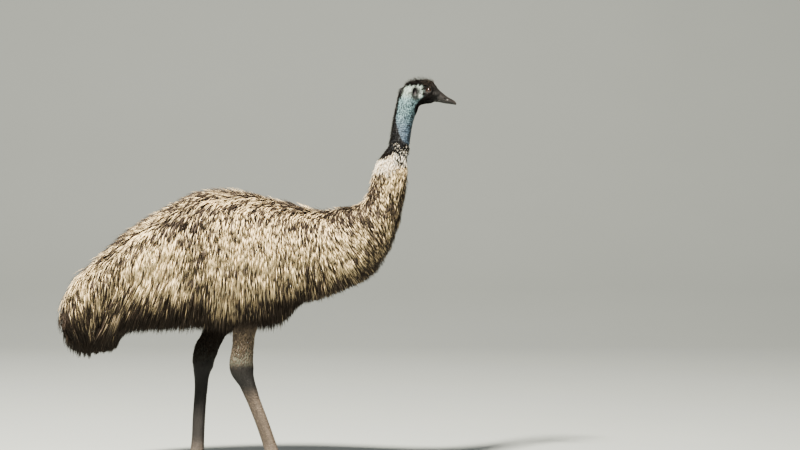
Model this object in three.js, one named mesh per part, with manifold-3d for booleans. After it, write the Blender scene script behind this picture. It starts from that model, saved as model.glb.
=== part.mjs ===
// A life-size emu walking on level ground, as a still model.
// Millimetres. +X is the way it faces, +Y its left side, +Z up. The origin is on the ground, under the middle of the bird.
import * as THREE from "three";
import { mergeVertices } from "three/addons/utils/BufferGeometryUtils.js";
import Module from "manifold-3d";

const wasm = await Module();
wasm.setup();

// Sizes that drive the whole bird
const GAP = 0.35; // clearance kept between neighbouring pieces
const SIDES = { right: -1, left: 1 };

// The body as seen from the side: the tips of the coat, from the end of the tail to the top of the neck.
// at is the middle of each section, up and down reach to its upper and lower edge, and side is half its width.
// coat and under are how deep the feathers stand over the skin there, above and below.
// lie is how far the feathers fall forward for each unit that they fall down.
const BODY = [
  { name: "tail_end", at: [-634, 462], up: 84, down: 84, side: 80, coat: 60, under: 60, lie: -0.05 },
  { name: "tail", at: [-621, 536], up: 130, down: 128, side: 124, coat: 70, under: 76, lie: -0.08 },
  { name: "train", at: [-591, 635], up: 137, down: 140, side: 160, coat: 76, under: 100, lie: -0.25 },
  { name: "rump", at: [-519, 722], up: 122, down: 190, side: 192, coat: 66, under: 140, lie: -0.45 },
  { name: "hip", at: [-393, 794], up: 160, down: 250, side: 220, coat: 56, under: 170, lie: -0.32 },
  { name: "loin", at: [-222, 817], up: 241, down: 275, side: 236, coat: 52, under: 190, lie: -0.14 },
  { name: "back", at: [-51, 825], up: 239, down: 280, side: 230, coat: 52, under: 180, lie: 0.0 },
  { name: "chest", at: [101, 836], up: 194, down: 240, side: 200, coat: 50, under: 110, lie: 0.04 },
  { name: "shoulder", at: [215, 844], up: 158, down: 182, side: 165, coat: 48, under: 56, lie: 0.12 },
  { name: "crop", at: [321, 863], up: 144, down: 158, side: 134, coat: 46, under: 50, lie: 0.55 },
  { name: "bend", at: [401, 912], up: 129, down: 133, side: 110, coat: 42, under: 46, lie: 0.7 },
  { name: "nape", at: [458, 984], up: 84, down: 97, side: 88, coat: 36, under: 42, lie: 0.3 },
  { name: "rise", at: [486, 1056], up: 68, down: 78, side: 70, coat: 28, under: 32, lie: 0.06 },
  { name: "ruff", at: [504, 1129], up: 68, down: 70, side: 64, coat: 28, under: 30, lie: -0.05 },
  { name: "collar", at: [521, 1184], up: 60, down: 53, side: 52, coat: 26, under: 20, lie: -0.12 },
  { name: "bare", at: [534, 1227], up: 42, down: 37, side: 37, coat: 8, under: 4, lie: -0.2 },
  { name: "throat", at: [541, 1265], up: 38, down: 35, side: 34, coat: 0, under: 0, lie: -0.2 },
  { name: "blue", at: [547, 1311], up: 37, down: 35, side: 33, coat: 0, under: 0, lie: -0.2 },
  { name: "upper", at: [556, 1357], up: 38, down: 37, side: 33, coat: 0, under: 0, lie: -0.2 },
  { name: "top", at: [566, 1395], up: 39, down: 41, side: 33, coat: 0, under: 0, lie: -0.2 },
  { name: "nape_bone", at: [576, 1420], up: 44, down: 40, side: 32, coat: 0, under: 0, lie: 0 },
  { name: "skull_base", at: [587, 1442], up: 40, down: 34, side: 29, coat: 0, under: 0, lie: 0 },
  { name: "in_skull", at: [595, 1458], up: 14, down: 16, side: 14, coat: 0, under: 0, lie: 0 },
];
const CORE = 0.5; // share of the coat's depth that the solid core leaves to the locks
const PARTED = 0.5; // the coat is this much thinner along its parting, on the back

// The head and bill, from the back of the skull to the tip of the bill
const HEAD = [
  { at: [549, 1450], up: 8, down: 10, side: 8 },
  { at: [567, 1451], up: 27, down: 31, side: 23 },
  { at: [592, 1450], up: 36, down: 43, side: 31 },
  { at: [618, 1448], up: 40, down: 47, side: 33 },
  { at: [641, 1444], up: 43, down: 42, side: 31 },
  { at: [661, 1438], up: 37, down: 34, side: 26 },
  { at: [679, 1432], up: 22, down: 24, side: 19 },
  { at: [694, 1424.5], up: 17.5, down: 18.5, side: 17.5 },
  { at: [712, 1416.5], up: 13, down: 14, side: 16 },
  { at: [730, 1410], up: 10, down: 9.5, side: 13.5 },
  { at: [743, 1405.5], up: 7, down: 7, side: 9 },
  { at: [751.5, 1400.5], up: 2.5, down: 3, side: 4 },
];
const BILL_ROOT = 6; // the station of the head at which the bill begins
const MOUTH_LINE = [
  [625, 1412],
  [652, 1414],
  [679, 1417.5],
  [712, 1410.5],
  [760, 1396],
]; // the line between the two halves of the bill, and on to the corner of the mouth
const MOUTH_GAP = 0.8;
const EYE = { at: [646, 1452], out: 17, radius: 14.5, open: [11, 8.5] };
const LID = { out: 28, thick: 3.2, half: [12.5, 10] };
const BROW = { back: 2, above: 12, out: 24, half: [19, 7, 6] };
const EAR = { at: [595, 1447], out: 28, half: [5, 8, 7.5], rim: 2, rim_half: [6, 9] };
const NOSTRIL = { at: [713, 1421.5], out: 15, half: [7.5, 6, 2.6] };
// Bristles of the crown, in rows that fan out from the brow and lean back
const BRISTLES = { rows: 4, across: 4, length: 24, width: 4.5, from: 0.2, to: 0.47, spread: 0.85, seed: 11 };

// The legs from the thigh down to the joint of the toes: x and height, half sizes to the front, back and side
const LEGS = {
  right: [
    { at: [28, 690], up: 95, down: 95, side: 62 },
    { at: [4, 625], up: 66, down: 68, side: 52 },
    { at: [-28, 552], up: 46, down: 46, side: 39 },
    { at: [-49, 505], up: 36, down: 37, side: 33 },
    { at: [-54, 465], up: 38, down: 41, side: 31 },
    { at: [-59, 425], up: 43, down: 45, side: 32 },
    { at: [-57, 398], up: 44, down: 45, side: 32 },
    { at: [-50, 375], up: 38, down: 38, side: 28 },
    { at: [-40, 351], up: 31, down: 31, side: 24 },
    { at: [-27, 315], up: 27, down: 27, side: 20 },
    { at: [-13, 277], up: 24, down: 24, side: 18.5 },
    { at: [16, 201], up: 23.5, down: 23.5, side: 18 },
    { at: [42, 125], up: 24, down: 24, side: 20 },
    { at: [55, 84], up: 25, down: 26, side: 24 },
    { at: [66, 46], up: 26, down: 30, side: 28 },
  ],
  left: [
    { at: [-66, 690], up: 95, down: 95, side: 62 },
    { at: [-104, 625], up: 66, down: 68, side: 52 },
    { at: [-155, 552], up: 43, down: 44, side: 39 },
    { at: [-180, 505], up: 39, down: 39, side: 33 },
    { at: [-199, 462], up: 43, down: 43, side: 31 },
    { at: [-208, 425], up: 40, down: 41, side: 32 },
    { at: [-208, 404], up: 38, down: 38, side: 32 },
    { at: [-214, 378], up: 29, down: 29, side: 28 },
    { at: [-217, 350], up: 26, down: 26, side: 24 },
    { at: [-219, 315], up: 24.5, down: 24.5, side: 20 },
    { at: [-222, 277], up: 23.5, down: 23.5, side: 18.5 },
    { at: [-227, 201], up: 23.5, down: 23.5, side: 18 },
    { at: [-231, 125], up: 23.5, down: 23.5, side: 20 },
    { at: [-235, 84], up: 25, down: 26, side: 24 },
    { at: [-240, 46], up: 26, down: 30, side: 28 },
  ],
};
const STANCE = {
  right: { hip: 112, hock: 88, foot: 80 },
  left: { hip: 112, hock: 68, foot: 36 },
}; // how far each joint is from the middle plane: a walking bird sets its standing foot well under it
const HIP_HEIGHT = 690;
const HOCK_HEIGHT = 412;
const THIGH_CUT = 552; // height at which the leg leaves the body
const HOCK_CUT = 452; // height at which the bare shank begins
const SHANK_CUT = 58; // height at which the foot begins
const SHANK_SCUTES = { count: 9, raise: 1.8, half_angle: 1.15, from: 345, to: 72 };

// Toes: length from the joint to the root of the claw, splay to the inner side, half width, scutes on top
const TOES = [
  { name: "inner", length: 76, splay: 27, half: 13.5, scutes: 3, claw: 24 },
  { name: "middle", length: 118, splay: 0, half: 16.5, scutes: 5, claw: 30 },
  { name: "outer", length: 72, splay: -29, half: 13.5, scutes: 3, claw: 23 },
];
const TOE = { root: 30, tip: 11, root_up: 15, tip_up: 9, raise: 1.5, turn: 3 };

// The coat: flat, tapered locks, each row over the next. Angles are degrees from the top of the section.
const LOCK = { root: 11, thick: 8, steps: 3, sway: 0.09, spread: 0.14, parting: 0.5, hang: 0.45 };
const WIDTHS = [0.8, 1, 0.66]; // width of a lock at its root and on, before its point
const SLIMMEST = 0.62; // no lock is wider than this share of its length
const TORSO_COAT = {
  seed: 7,
  spacing: 69,
  width: 58,
  rows: [
    { angle: 7, length: 175 },
    { angle: 36, length: 182 },
    { angle: 65, length: 186 },
    { angle: 94, length: 200 },
    { angle: 124, length: 172 },
    { angle: 154, length: 116 },
  ],
};
const LEG_ROOM = { angle: 150, reach: 85 }; // no lock is rooted where a thigh leaves the belly
const WING_ROOM = { from: 92, to: 206, angles: [58, 116] }; // nor under the wing, from x to x
// How far each ring stands before the tail's tip, and how much longer its rear locks are than its front ones
const TAIL_COAT = {
  seed: 19,
  width: 72,
  rings: [
    { before: 40, count: 9, length: 174 },
    { before: 112, count: 10, length: 176, behind: 42 },
    { before: 184, count: 9, length: 176, behind: 84 },
  ],
};
const TAIL_CLOSES = 95; // length over which the tail's core rounds off
const NECK_LOWER_COAT = {
  seed: 29,
  spacing: 70,
  width: 56,
  rows: [
    { angle: 9, length: 130 },
    { angle: 46, length: 132 },
    { angle: 84, length: 126 },
    { angle: 118, length: 96 },
    { angle: 148, length: 70 },
    { angle: 174, length: 56 },
  ],
};
const NECK_MIDDLE_COAT = {
  seed: 31,
  width: 40,
  rings: [
    { before: 26, count: 7, length: 88 },
    { before: 96, count: 7, length: 112 },
    { before: 166, count: 8, length: 114 },
  ],
};
// The small wing lies on the side of the breast, under locks of its own
const WING = {
  at: [158, 838],
  half: [66, 15, 34],
  droop: 0.62,
  sink: 6,
  seed: 41,
  locks: 5,
  spread: 92,
  length: 132,
  width: 40,
};

const MATERIALS = {
  coat: { color: 0x9c8a72, roughness: 0.95 },
  dark_coat: { color: 0x3a322b, roughness: 0.95 },
  neck_skin: { color: 0x7fa3b5, roughness: 0.7 },
  head_skin: { color: 0x2b2624, roughness: 0.8 },
  bill: { color: 0x3c3532, roughness: 0.5 },
  eye: { color: 0x1a0f08, roughness: 0.05 },
  leg_skin: { color: 0x5b5147, roughness: 0.8 },
  claw: { color: 0x1f1b19, roughness: 0.45 },
};

// Numbers between 0 and 1 in a fixed order, so that every build is the same
function randomNumbers(seed) {
  let state = seed;
  return () => {
    state = (state * 1664525 + 1013904223) % 4294967296;
    return state / 4294967296;
  };
}

// Closed geometry as a solid whose faces point out
function solid(geometry) {
  const bare = new THREE.BufferGeometry();
  bare.setAttribute("position", geometry.getAttribute("position"));
  bare.setIndex(geometry.index);
  const merged = mergeVertices(bare, 1e-3);
  const triVerts = new Uint32Array(merged.index.array);
  const build = () =>
    new wasm.Manifold(
      new wasm.Mesh({ numProp: 3, vertProperties: merged.attributes.position.array, triVerts }),
    );
  const made = build();
  if (made.volume() > 0) return made;
  for (let i = 0; i < triVerts.length; i += 3) {
    [triVerts[i], triVerts[i + 1]] = [triVerts[i + 1], triVerts[i]];
  }
  return build();
}

function join(pieces) {
  return wasm.Manifold.union(pieces);
}

function cut(whole, tools) {
  return tools.reduce((rest, tool) => rest.subtract(tool), whole);
}

function largest(made) {
  return made.decompose().reduce((best, body) => (body.volume() > best.volume() ? body : best));
}

function node(name, made, material) {
  const mesh = largest(made).getMesh();
  const geometry = new THREE.BufferGeometry();
  geometry.setAttribute("position", new THREE.BufferAttribute(mesh.vertProperties, 3));
  geometry.setIndex(new THREE.BufferAttribute(mesh.triVerts, 1));
  geometry.computeVertexNormals();
  const made_mesh = new THREE.Mesh(geometry, new THREE.MeshStandardMaterial(MATERIALS[material]));
  made_mesh.name = name;
  return made_mesh;
}

// Moves every vertex of a geometry through a function of its position
function shaped(geometry, place) {
  const position = geometry.getAttribute("position");
  const from = new THREE.Vector3();
  for (let i = 0; i < position.count; i++) {
    from.fromBufferAttribute(position, i);
    position.setXYZ(i, ...place(from).toArray());
  }
  return geometry;
}

// A round form along a curve, whose sections are half ellipses above and below its middle
class Tube {
  constructor(stations, sideways = () => 0) {
    const middles = stations.map(({ at: [x, z] }) => new THREE.Vector3(x, sideways(z), z));
    const radii = stations.map(({ up, down, side }) => new THREE.Vector3(up, down, side));
    this.spine = new THREE.CatmullRomCurve3(middles, false, "centripetal");
    this.radii = new THREE.CatmullRomCurve3(radii, false, "catmullrom", 0.5);
    this.last = stations.length - 1;
  }

  // Where along the tube a station is, from 0 to 1
  station(index) {
    return index / this.last;
  }

  frame(along) {
    const t = THREE.MathUtils.clamp(along, 0, 1);
    const tangent = this.spine.getTangent(t);
    const lateral = new THREE.Vector3(0, 1, 0).addScaledVector(tangent, -tangent.y).normalize();
    const dorsal = new THREE.Vector3().crossVectors(tangent, lateral);
    return { middle: this.spine.getPoint(t), tangent, lateral, dorsal, radii: this.radii.getPoint(t) };
  }

  // A point at an angle from the top of the section, positive to the left, share of the way out, plus a height
  point(along, angle, height = 0, share = 1) {
    const { middle, lateral, dorsal, radii } = this.frame(along);
    const rise = Math.cos(angle) >= 0 ? radii.x : radii.y;
    const up = Math.cos(angle) * rise * share;
    const out = Math.sin(angle) * radii.z * share;
    const point = middle.clone().addScaledVector(dorsal, up).addScaledVector(lateral, out);
    if (height === 0) return point;
    return point.addScaledVector(this.normal(along, angle), height);
  }

  normal(along, angle) {
    const { lateral, dorsal, radii } = this.frame(along);
    const rise = Math.cos(angle) >= 0 ? radii.x : radii.y;
    return dorsal
      .multiplyScalar(Math.cos(angle) / rise)
      .addScaledVector(lateral, Math.sin(angle) / radii.z)
      .normalize();
  }

  // The stretch between two places as a solid with flat ends; height raises its skin, and closing narrows it
  solid(from, to, around, steps, height = () => 0, closing = () => 1) {
    const barrel = new THREE.CylinderGeometry(1, 1, 1, around, steps);
    const place = ({ x, y, z }) => {
      const along = THREE.MathUtils.lerp(from, to, y + 0.5);
      const angle = Math.atan2(z, x);
      const share = Math.hypot(x, z);
      return this.point(along, angle, share > 0.5 ? height(along, angle) : 0, share * closing(along));
    };
    return solid(shaped(barrel, place));
  }

  // The place along the tube whose middle is at a height, searched between two places
  atHeight(height, low = 0, high = 1) {
    const rising = this.spine.getPoint(high).z > this.spine.getPoint(low).z;
    for (let i = 0; i < 40; i++) {
      const middle = (low + high) / 2;
      if (this.spine.getPoint(middle).z < height === rising) low = middle;
      else high = middle;
    }
    return (low + high) / 2;
  }

  // How far along the tube a length in millimetres reaches at a place
  share(along, length) {
    const step = 1e-3;
    const span = this.spine.getPoint(along + step).distanceTo(this.spine.getPoint(along - step));
    return (length * 2 * step) / span;
  }
}

// The solid core under the locks, which the coat's tips stand out from
const core = new Tube(
  BODY.map(({ at, up, down, side, coat, under }) => ({
    at,
    up: up - coat * CORE * PARTED,
    down: down - under * CORE,
    side: side - coat * CORE,
  })),
);
const outer = new Tube(BODY);
const placeOf = (name) => BODY.findIndex((station) => station.name === name) / (BODY.length - 1);

// A value of the body's stations, anywhere between them
function bodyValue(key, along) {
  const place = THREE.MathUtils.clamp(along, 0, 1) * (BODY.length - 1);
  const before = Math.min(Math.floor(place), BODY.length - 2);
  return THREE.MathUtils.lerp(BODY[before][key], BODY[before + 1][key], place - before);
}

// A stretch of the core between two stations; each end that meets a neighbour keeps half the gap to it
function coreStretch(from, to, around, steps, { grow = 0, open = false, closes = 0 } = {}) {
  const a = placeOf(from);
  const b = placeOf(to);
  const back = GAP / 2 - grow / 2;
  const low = open ? a : a + core.share(a, back);
  const high = b - core.share(b, back);
  const round = core.share(a, closes);
  const closing = (along) => Math.sqrt(Math.max(0.02, 1 - Math.max(0, 1 - (along - a) / round) ** 2));
  return core.solid(low, high, around, steps, () => grow, round > 0 ? closing : undefined);
}

// The way the feathers fall at a place: down, forward or back by the station's lie, and out from the parting
function fall(along, angle) {
  const out = Math.sin(angle) >= 0 ? LOCK.parting : -LOCK.parting;
  return new THREE.Vector3(bodyValue("lie", along), out, -1).normalize();
}

// The middle line of a lock from its root: it follows the core's skin, and hangs free where that turns under
function lockPath({ along, angle, length, lift, turn, low }) {
  const frames = [];
  const step = length / LOCK.steps;
  let hanging = false;
  let place = along;
  let around = angle;
  let point = null;
  for (let i = 0; i <= LOCK.steps; i++) {
    const normal = core.normal(place, around);
    const direction = fall(place, around).applyAxisAngle(normal, (turn * i) / LOCK.steps);
    const height = THREE.MathUtils.lerp(-LOCK.root, lift, (i / LOCK.steps) ** 0.85);
    hanging = hanging || normal.z < -LOCK.hang || place < low;
    if (hanging) direction.setY(direction.y * 0.2).normalize();
    if (point === null || !hanging) point = core.point(place, around, height);
    else point = point.clone().addScaledVector(direction, step);
    const facing = normal.clone().setZ(hanging ? 0 : normal.z);
    const across = hanging && i > 0 ? frames[i - 1].across : facing.cross(direction).normalize();
    const outward = hanging ? new THREE.Vector3().crossVectors(direction, across).normalize() : normal;
    frames.push({ point, across, outward });
    if (hanging) continue;
    const small = 1e-3;
    const pa = core.point(place + small, around).sub(core.point(place - small, around));
    const pw = core.point(place, around + small).sub(core.point(place, around - small));
    const flat = direction.addScaledVector(normal, -direction.dot(normal)).normalize();
    const [aa, ab, bb] = [pa.dot(pa), pa.dot(pw), pw.dot(pw)];
    const [fa, fb] = [pa.dot(flat), pw.dot(flat)];
    const scale = (step * 2 * small) / (aa * bb - ab * ab);
    place += (bb * fa - ab * fb) * scale;
    around += (aa * fb - ab * fa) * scale;
  }
  return frames;
}

// A flat lock with a ridge along its outer side, tapering to a point; grow makes it larger all round
function lockSolid(site, grow) {
  const rings = lockPath(site).map(({ point, across, outward }, i, frames) => {
    const at = (side, rise) => point.clone().addScaledVector(across, side).addScaledVector(outward, rise);
    if (i === LOCK.steps) {
      const tip = point.clone().sub(frames[i - 1].point).setLength(grow * 3);
      return [at(0, 0).add(tip).toArray()];
    }
    const thick = LOCK.thick * (1 - (0.6 * i) / LOCK.steps) + grow * 3;
    const half = (Math.min(site.width, site.length * SLIMMEST) * WIDTHS[i]) / 2 + grow * 6;
    return [at(0, (thick * 2) / 3), at(half, -thick / 3), at(-half, -thick / 3)].map((p) => p.toArray());
  });
  return join(rings.slice(1).map((ring, i) => wasm.Manifold.hull([...rings[i], ...ring])));
}

// Roots of locks in rows along the body, every other row set half a space on
function rowSites(from, to, { seed, spacing, width, rows }, keep = () => true) {
  const random = randomNumbers(seed);
  const vary = (share) => 1 + share * (random() * 2 - 1);
  const [first, last] = [placeOf(from), placeOf(to)];
  const sites = [];
  rows.forEach(({ angle, length }, row) => {
    for (const sign of Object.values(SIDES)) {
      let along = first + core.share(first, spacing * (row % 2 ? 0.3 : 0.75));
      while (along < last - core.share(last, spacing * 0.42)) {
        const turned = sign * THREE.MathUtils.degToRad(angle * vary(0.03) + 2 * vary(0.5));
        const site = {
          along,
          angle: turned,
          length: Math.min(length, room(along, turned) * 1.08) * vary(LOCK.spread),
          width: width * spread(along, turned) * vary(0.08),
          lift: liftAt(along, turned) * vary(0.15),
          turn: LOCK.sway * (random() * 2 - 1),
          low: 0,
        };
        if (keep(site)) sites.push(site);
        along += core.share(along, spacing * vary(0.12));
      }
    }
  });
  return sites;
}

// Roots of locks in rings round the body, each measured back from the station it starts at
function ringSites(from, { seed, width, rings }, low = 0) {
  const random = randomNumbers(seed);
  const vary = (share) => 1 + share * (random() * 2 - 1);
  const start = placeOf(from);
  const sites = [];
  rings.forEach(({ before, count, length, behind = 0 }, ring) => {
    const along = start - core.share(start - core.share(start, before / 2), before);
    for (let i = 0; i < count; i++) {
      const angle = ((i + (ring % 2 ? 0 : 0.5)) / count) * Math.PI * 2 - Math.PI;
      sites.push({
        along: along + core.share(along, 8 * (random() * 2 - 1)),
        angle: angle + (0.12 * (random() * 2 - 1)) / count,
        length: (length + behind * Math.cos(angle)) * vary(LOCK.spread),
        width: width * vary(0.1),
        lift: liftAt(along, angle) * vary(0.15),
        turn: LOCK.sway * (random() * 2 - 1),
        low,
      });
    }
  });
  return sites;
}

// How much wider apart the skin's places are than those of the middle line
function spread(along, angle) {
  const small = 1e-3;
  const skin = core.point(along + small, angle).distanceTo(core.point(along - small, angle));
  const middle = core.spine.getPoint(along + small).distanceTo(core.spine.getPoint(along - small));
  return THREE.MathUtils.clamp(skin / middle, 0.55, 1.4);
}

// Height of a root over the coat's lower edge below it
function room(along, angle) {
  return core.point(along, angle).z - outer.point(along, Math.PI).z;
}

// How far the tips stand off the core
function liftAt(along, angle) {
  const above = bodyValue("coat", along) * (1 - CORE);
  return Math.cos(angle) > 0 ? above : Math.min(above * 1.3, bodyValue("under", along) * (1 - CORE));
}

function coated(coreSolid, sites, grow) {
  return join([coreSolid, ...sites.map((site) => lockSolid(site, grow))]);
}

// Legs
function sidewaysOf(side) {
  return (height) => {
    const knee = THREE.MathUtils.clamp((height - HOCK_HEIGHT) / (HIP_HEIGHT - HOCK_HEIGHT), 0, 1);
    const low = THREE.MathUtils.clamp(height / HOCK_HEIGHT, 0, 1);
    const { hip, hock: middle, foot } = STANCE[side];
    const below = THREE.MathUtils.lerp(foot, middle, low);
    return SIDES[side] * THREE.MathUtils.lerp(below, hip, knee);
  };
}
const legTube = (side) => new Tube(LEGS[side], sidewaysOf(side));

function legPieces(side) {
  const tube = legTube(side);
  const top = tube.atHeight(THIGH_CUT);
  const hock = tube.atHeight(HOCK_CUT);
  const ankle = tube.atHeight(SHANK_CUT);
  const half = (along) => tube.share(along, GAP / 2);
  const firstScute = tube.atHeight(SHANK_SCUTES.from);
  const lastScute = tube.atHeight(SHANK_SCUTES.to);
  const scuteLength = (lastScute - firstScute) / SHANK_SCUTES.count;
  const scutes = (along, angle) => {
    const place = (along - firstScute) / scuteLength;
    if (place < 0 || place > SHANK_SCUTES.count || Math.abs(angle) > SHANK_SCUTES.half_angle) return 0;
    return SHANK_SCUTES.raise * (place % 1);
  };
  return {
    thigh: tube.solid(0, top - half(top), 14, 3),
    upper: tube.solid(top + half(top), hock - half(hock), 14, 4),
    clearance: tube.solid(top, hock, 14, 4, () => GAP),
    shank: tube.solid(hock + half(hock), ankle - half(ankle), 12, 25, scutes),
    ankle: { tube, along: ankle + half(ankle) },
  };
}

// A toe lies along the ground from the joint, on a flat pad, with plates across its top
function toeSolid(root, heading, { length, half, scutes }) {
  const steps = scutes * 2 + 2;
  const barrel = new THREE.CylinderGeometry(1, 1, 1, 9, steps);
  const forward = new THREE.Vector3(Math.cos(heading), Math.sin(heading), 0);
  const lateral = new THREE.Vector3(-Math.sin(heading), Math.cos(heading), 0);
  const place = ({ x, y, z }) => {
    const t = y + 0.5;
    const round = Math.sqrt(Math.max(0, 1 - Math.max(0, (t - 0.8) / 0.2) ** 2 * 0.75));
    const knuckle = 1 + 0.07 * Math.cos(t * Math.PI * 2 * TOE.turn);
    const width = half * THREE.MathUtils.lerp(1, 0.78, t) * knuckle * round;
    const rise = THREE.MathUtils.lerp(TOE.root_up, TOE.tip_up, t) * knuckle * round;
    const middle = THREE.MathUtils.lerp(TOE.root, TOE.tip, Math.sqrt(t)) - (1 - round) * 3;
    const plate = x > 0.3 && t > 0.15 && t < 0.95 ? TOE.raise * ((t * (scutes + 1)) % 1) : 0;
    const height = middle + x * (x < 0 ? middle * 1.2 : rise + plate);
    return root
      .clone()
      .addScaledVector(forward, t * length)
      .addScaledVector(lateral, z * width)
      .setZ(Math.max(0, height));
  };
  return solid(shaped(barrel, place));
}

function clawSolid(root, heading, length, width) {
  const cone = new THREE.ConeGeometry(1, 1, 8, 3);
  const forward = new THREE.Vector3(Math.cos(heading), Math.sin(heading), 0);
  const lateral = new THREE.Vector3(-Math.sin(heading), Math.cos(heading), 0);
  const place = ({ x, y, z }) => {
    const t = y + 0.5;
    const blunt = t > 0.99 ? 1 : Math.sqrt(1 - t) / Math.max(1e-3, 1 - t);
    const drop = t * t * 6;
    return root
      .clone()
      .addScaledVector(forward, t * length)
      .addScaledVector(lateral, z * width * blunt)
      .setZ(Math.max(0.2, root.z - drop + x * width * 0.85 * blunt));
  };
  return solid(shaped(cone, place));
}

function footPieces(side, ankle) {
  const joint = ankle.tube.spine.getPoint(1);
  const root = new THREE.Vector3(joint.x - 6, joint.y, 0);
  const shin = ankle.tube.solid(ankle.along, 1, 14, 2);
  const heel = solid(
    shaped(new THREE.SphereGeometry(1, 12, 7), ({ x, y, z }) =>
      new THREE.Vector3(joint.x - 2 + x * 33, joint.y + y * 27, Math.max(0, 27 + z * 30)),
    ),
  );
  const toes = [];
  const claws = {};
  for (const toe of TOES) {
    const heading = -SIDES[side] * THREE.MathUtils.degToRad(toe.splay);
    toes.push(toeSolid(root, heading, toe));
    const forward = new THREE.Vector3(Math.cos(heading), Math.sin(heading), 0);
    const tip = root.clone().addScaledVector(forward, toe.length + GAP).setZ(TOE.tip - 2);
    claws[toe.name] = clawSolid(tip, heading, toe.claw, toe.half * 0.46);
  }
  return { foot: join([shin, heel, ...toes]), claws };
}

// Head
function ellipsoid(x, y, z, [a, b, c], around = 12, rings = 7) {
  const ball = new THREE.SphereGeometry(1, around, rings);
  return solid(shaped(ball, (p) => new THREE.Vector3(x + p.x * a, y + p.y * b, z + p.z * c)));
}

function ring(x, y, z, [a, c], thick, around = 12) {
  const torus = new THREE.TorusGeometry(2, 1, 4, around);
  const place = (p) => {
    const turn = Math.atan2(p.y, p.x);
    const tube = (Math.hypot(p.x, p.y) - 2) * thick;
    return new THREE.Vector3(x + Math.cos(turn) * (a + tube), y + p.z * thick, z + Math.sin(turn) * (c + tube));
  };
  return solid(shaped(torus, place));
}

// All that lies above the line of the mouth, as a wide slab with that line as its lower edge
function aboveMouth(shift) {
  const outline = new THREE.Shape();
  outline.moveTo(MOUTH_LINE[0][0], MOUTH_LINE[0][1] + shift);
  MOUTH_LINE.slice(1).forEach(([x, z]) => outline.lineTo(x, z + shift));
  outline.lineTo(760, 1500);
  outline.lineTo(625, 1500);
  const slab = new THREE.ExtrudeGeometry(outline, { depth: 120, bevelEnabled: false });
  return solid(shaped(slab, ({ x, y, z }) => new THREE.Vector3(x, z - 60, y)));
}

// A stiff, hair-like feather of the crown, leaning back and out
function bristle(tube, along, angle, length, lean) {
  const { tangent } = tube.frame(along);
  const root = tube.point(along, angle, -4);
  const up = tube.normal(along, angle);
  const across = new THREE.Vector3().crossVectors(up, tangent).normalize();
  const cone = new THREE.ConeGeometry(BRISTLES.width / 2, 1, 3, 2);
  return solid(
    shaped(cone, ({ x, y, z }) => {
      const t = y + 0.5;
      return root
        .clone()
        .addScaledVector(up, t * length * (1 - 0.35 * t))
        .addScaledVector(tangent, z - lean * t * t * length)
        .addScaledVector(across, x);
    }),
  );
}

function crownBristles(tube) {
  const random = randomNumbers(BRISTLES.seed);
  const bristles = [];
  for (let row = 0; row < BRISTLES.rows; row++) {
    const along = THREE.MathUtils.lerp(BRISTLES.from, BRISTLES.to, row / (BRISTLES.rows - 1));
    for (let i = 0; i < BRISTLES.across; i++) {
      const angle = BRISTLES.spread * ((i + 0.5 + 0.4 * (random() - 0.5)) / BRISTLES.across - 0.5) * 2;
      const length = BRISTLES.length * (0.8 + 0.4 * random());
      bristles.push(bristle(tube, along + 0.02 * (random() - 0.5), angle, length, 0.5 + 0.3 * random()));
    }
  }
  return bristles;
}

function headPieces() {
  const tube = new Tube(HEAD);
  const root = tube.station(BILL_ROOT);
  const gap = tube.share(root, GAP / 2);
  const skull = tube.solid(0, root - gap, 16, 9);
  const neckTop = core.solid(placeOf("top") + core.share(placeOf("top"), GAP / 2), 1, 16, 4);
  let head = join([skull, neckTop, ...crownBristles(tube)]);
  const eyes = {};
  for (const [side, sign] of Object.entries(SIDES)) {
    const [x, z] = EYE.at;
    const ball = EYE.radius;
    eyes[side] = ellipsoid(x, sign * EYE.out, z, [ball, ball, ball]);
    const lid = ring(x, sign * LID.out, z, LID.half, LID.thick);
    const brow = ellipsoid(x - BROW.back, sign * BROW.out, z + BROW.above, BROW.half, 8, 5);
    head = join([head, lid, brow, ring(EAR.at[0], sign * EAR.out, EAR.at[1], EAR.rim_half, EAR.rim, 10)]);
    const socket = ellipsoid(x, sign * EYE.out, z, [ball + GAP, ball + GAP, ball + GAP]);
    const opening = ellipsoid(x, sign * 36, z, [EYE.open[0], 18, EYE.open[1]], 12, 5);
    const ear = ellipsoid(EAR.at[0], sign * (EAR.out + 3), EAR.at[1], EAR.half, 8, 5);
    head = cut(head, [socket, opening, ear]);
  }
  const bill = tube.solid(root + gap, 1, 16, 8);
  const nostrils = Object.values(SIDES).map((sign) =>
    ellipsoid(NOSTRIL.at[0], sign * NOSTRIL.out, NOSTRIL.at[1], NOSTRIL.half, 8, 5),
  );
  const slit = aboveMouth(-MOUTH_GAP / 2).subtract(aboveMouth(MOUTH_GAP / 2));
  return {
    head: cut(head, [slit]),
    upperBill: cut(bill.intersect(aboveMouth(MOUTH_GAP / 2)), nostrils),
    lowerBill: bill.subtract(aboveMouth(-MOUTH_GAP / 2)),
    eyes,
  };
}

// Wings
function wingSolid(side, grow) {
  const sign = SIDES[side];
  const [x, z] = WING.at;
  const middle = wingRoot(sign, 0);
  const ball = new THREE.SphereGeometry(1, 12, 7);
  const droop = new THREE.Vector3(-Math.cos(WING.droop), 0, -Math.sin(WING.droop));
  const over = new THREE.Vector3(-Math.sin(WING.droop), 0, Math.cos(WING.droop));
  const [long, thick, deep] = WING.half.map((half) => half + grow);
  const limb = solid(
    shaped(ball, (p) =>
      new THREE.Vector3(x, middle.y, z)
        .addScaledVector(droop, p.x * long)
        .addScaledVector(over, p.z * deep)
        .setY(middle.y + p.y * thick),
    ),
  );
  return limb;
}

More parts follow.
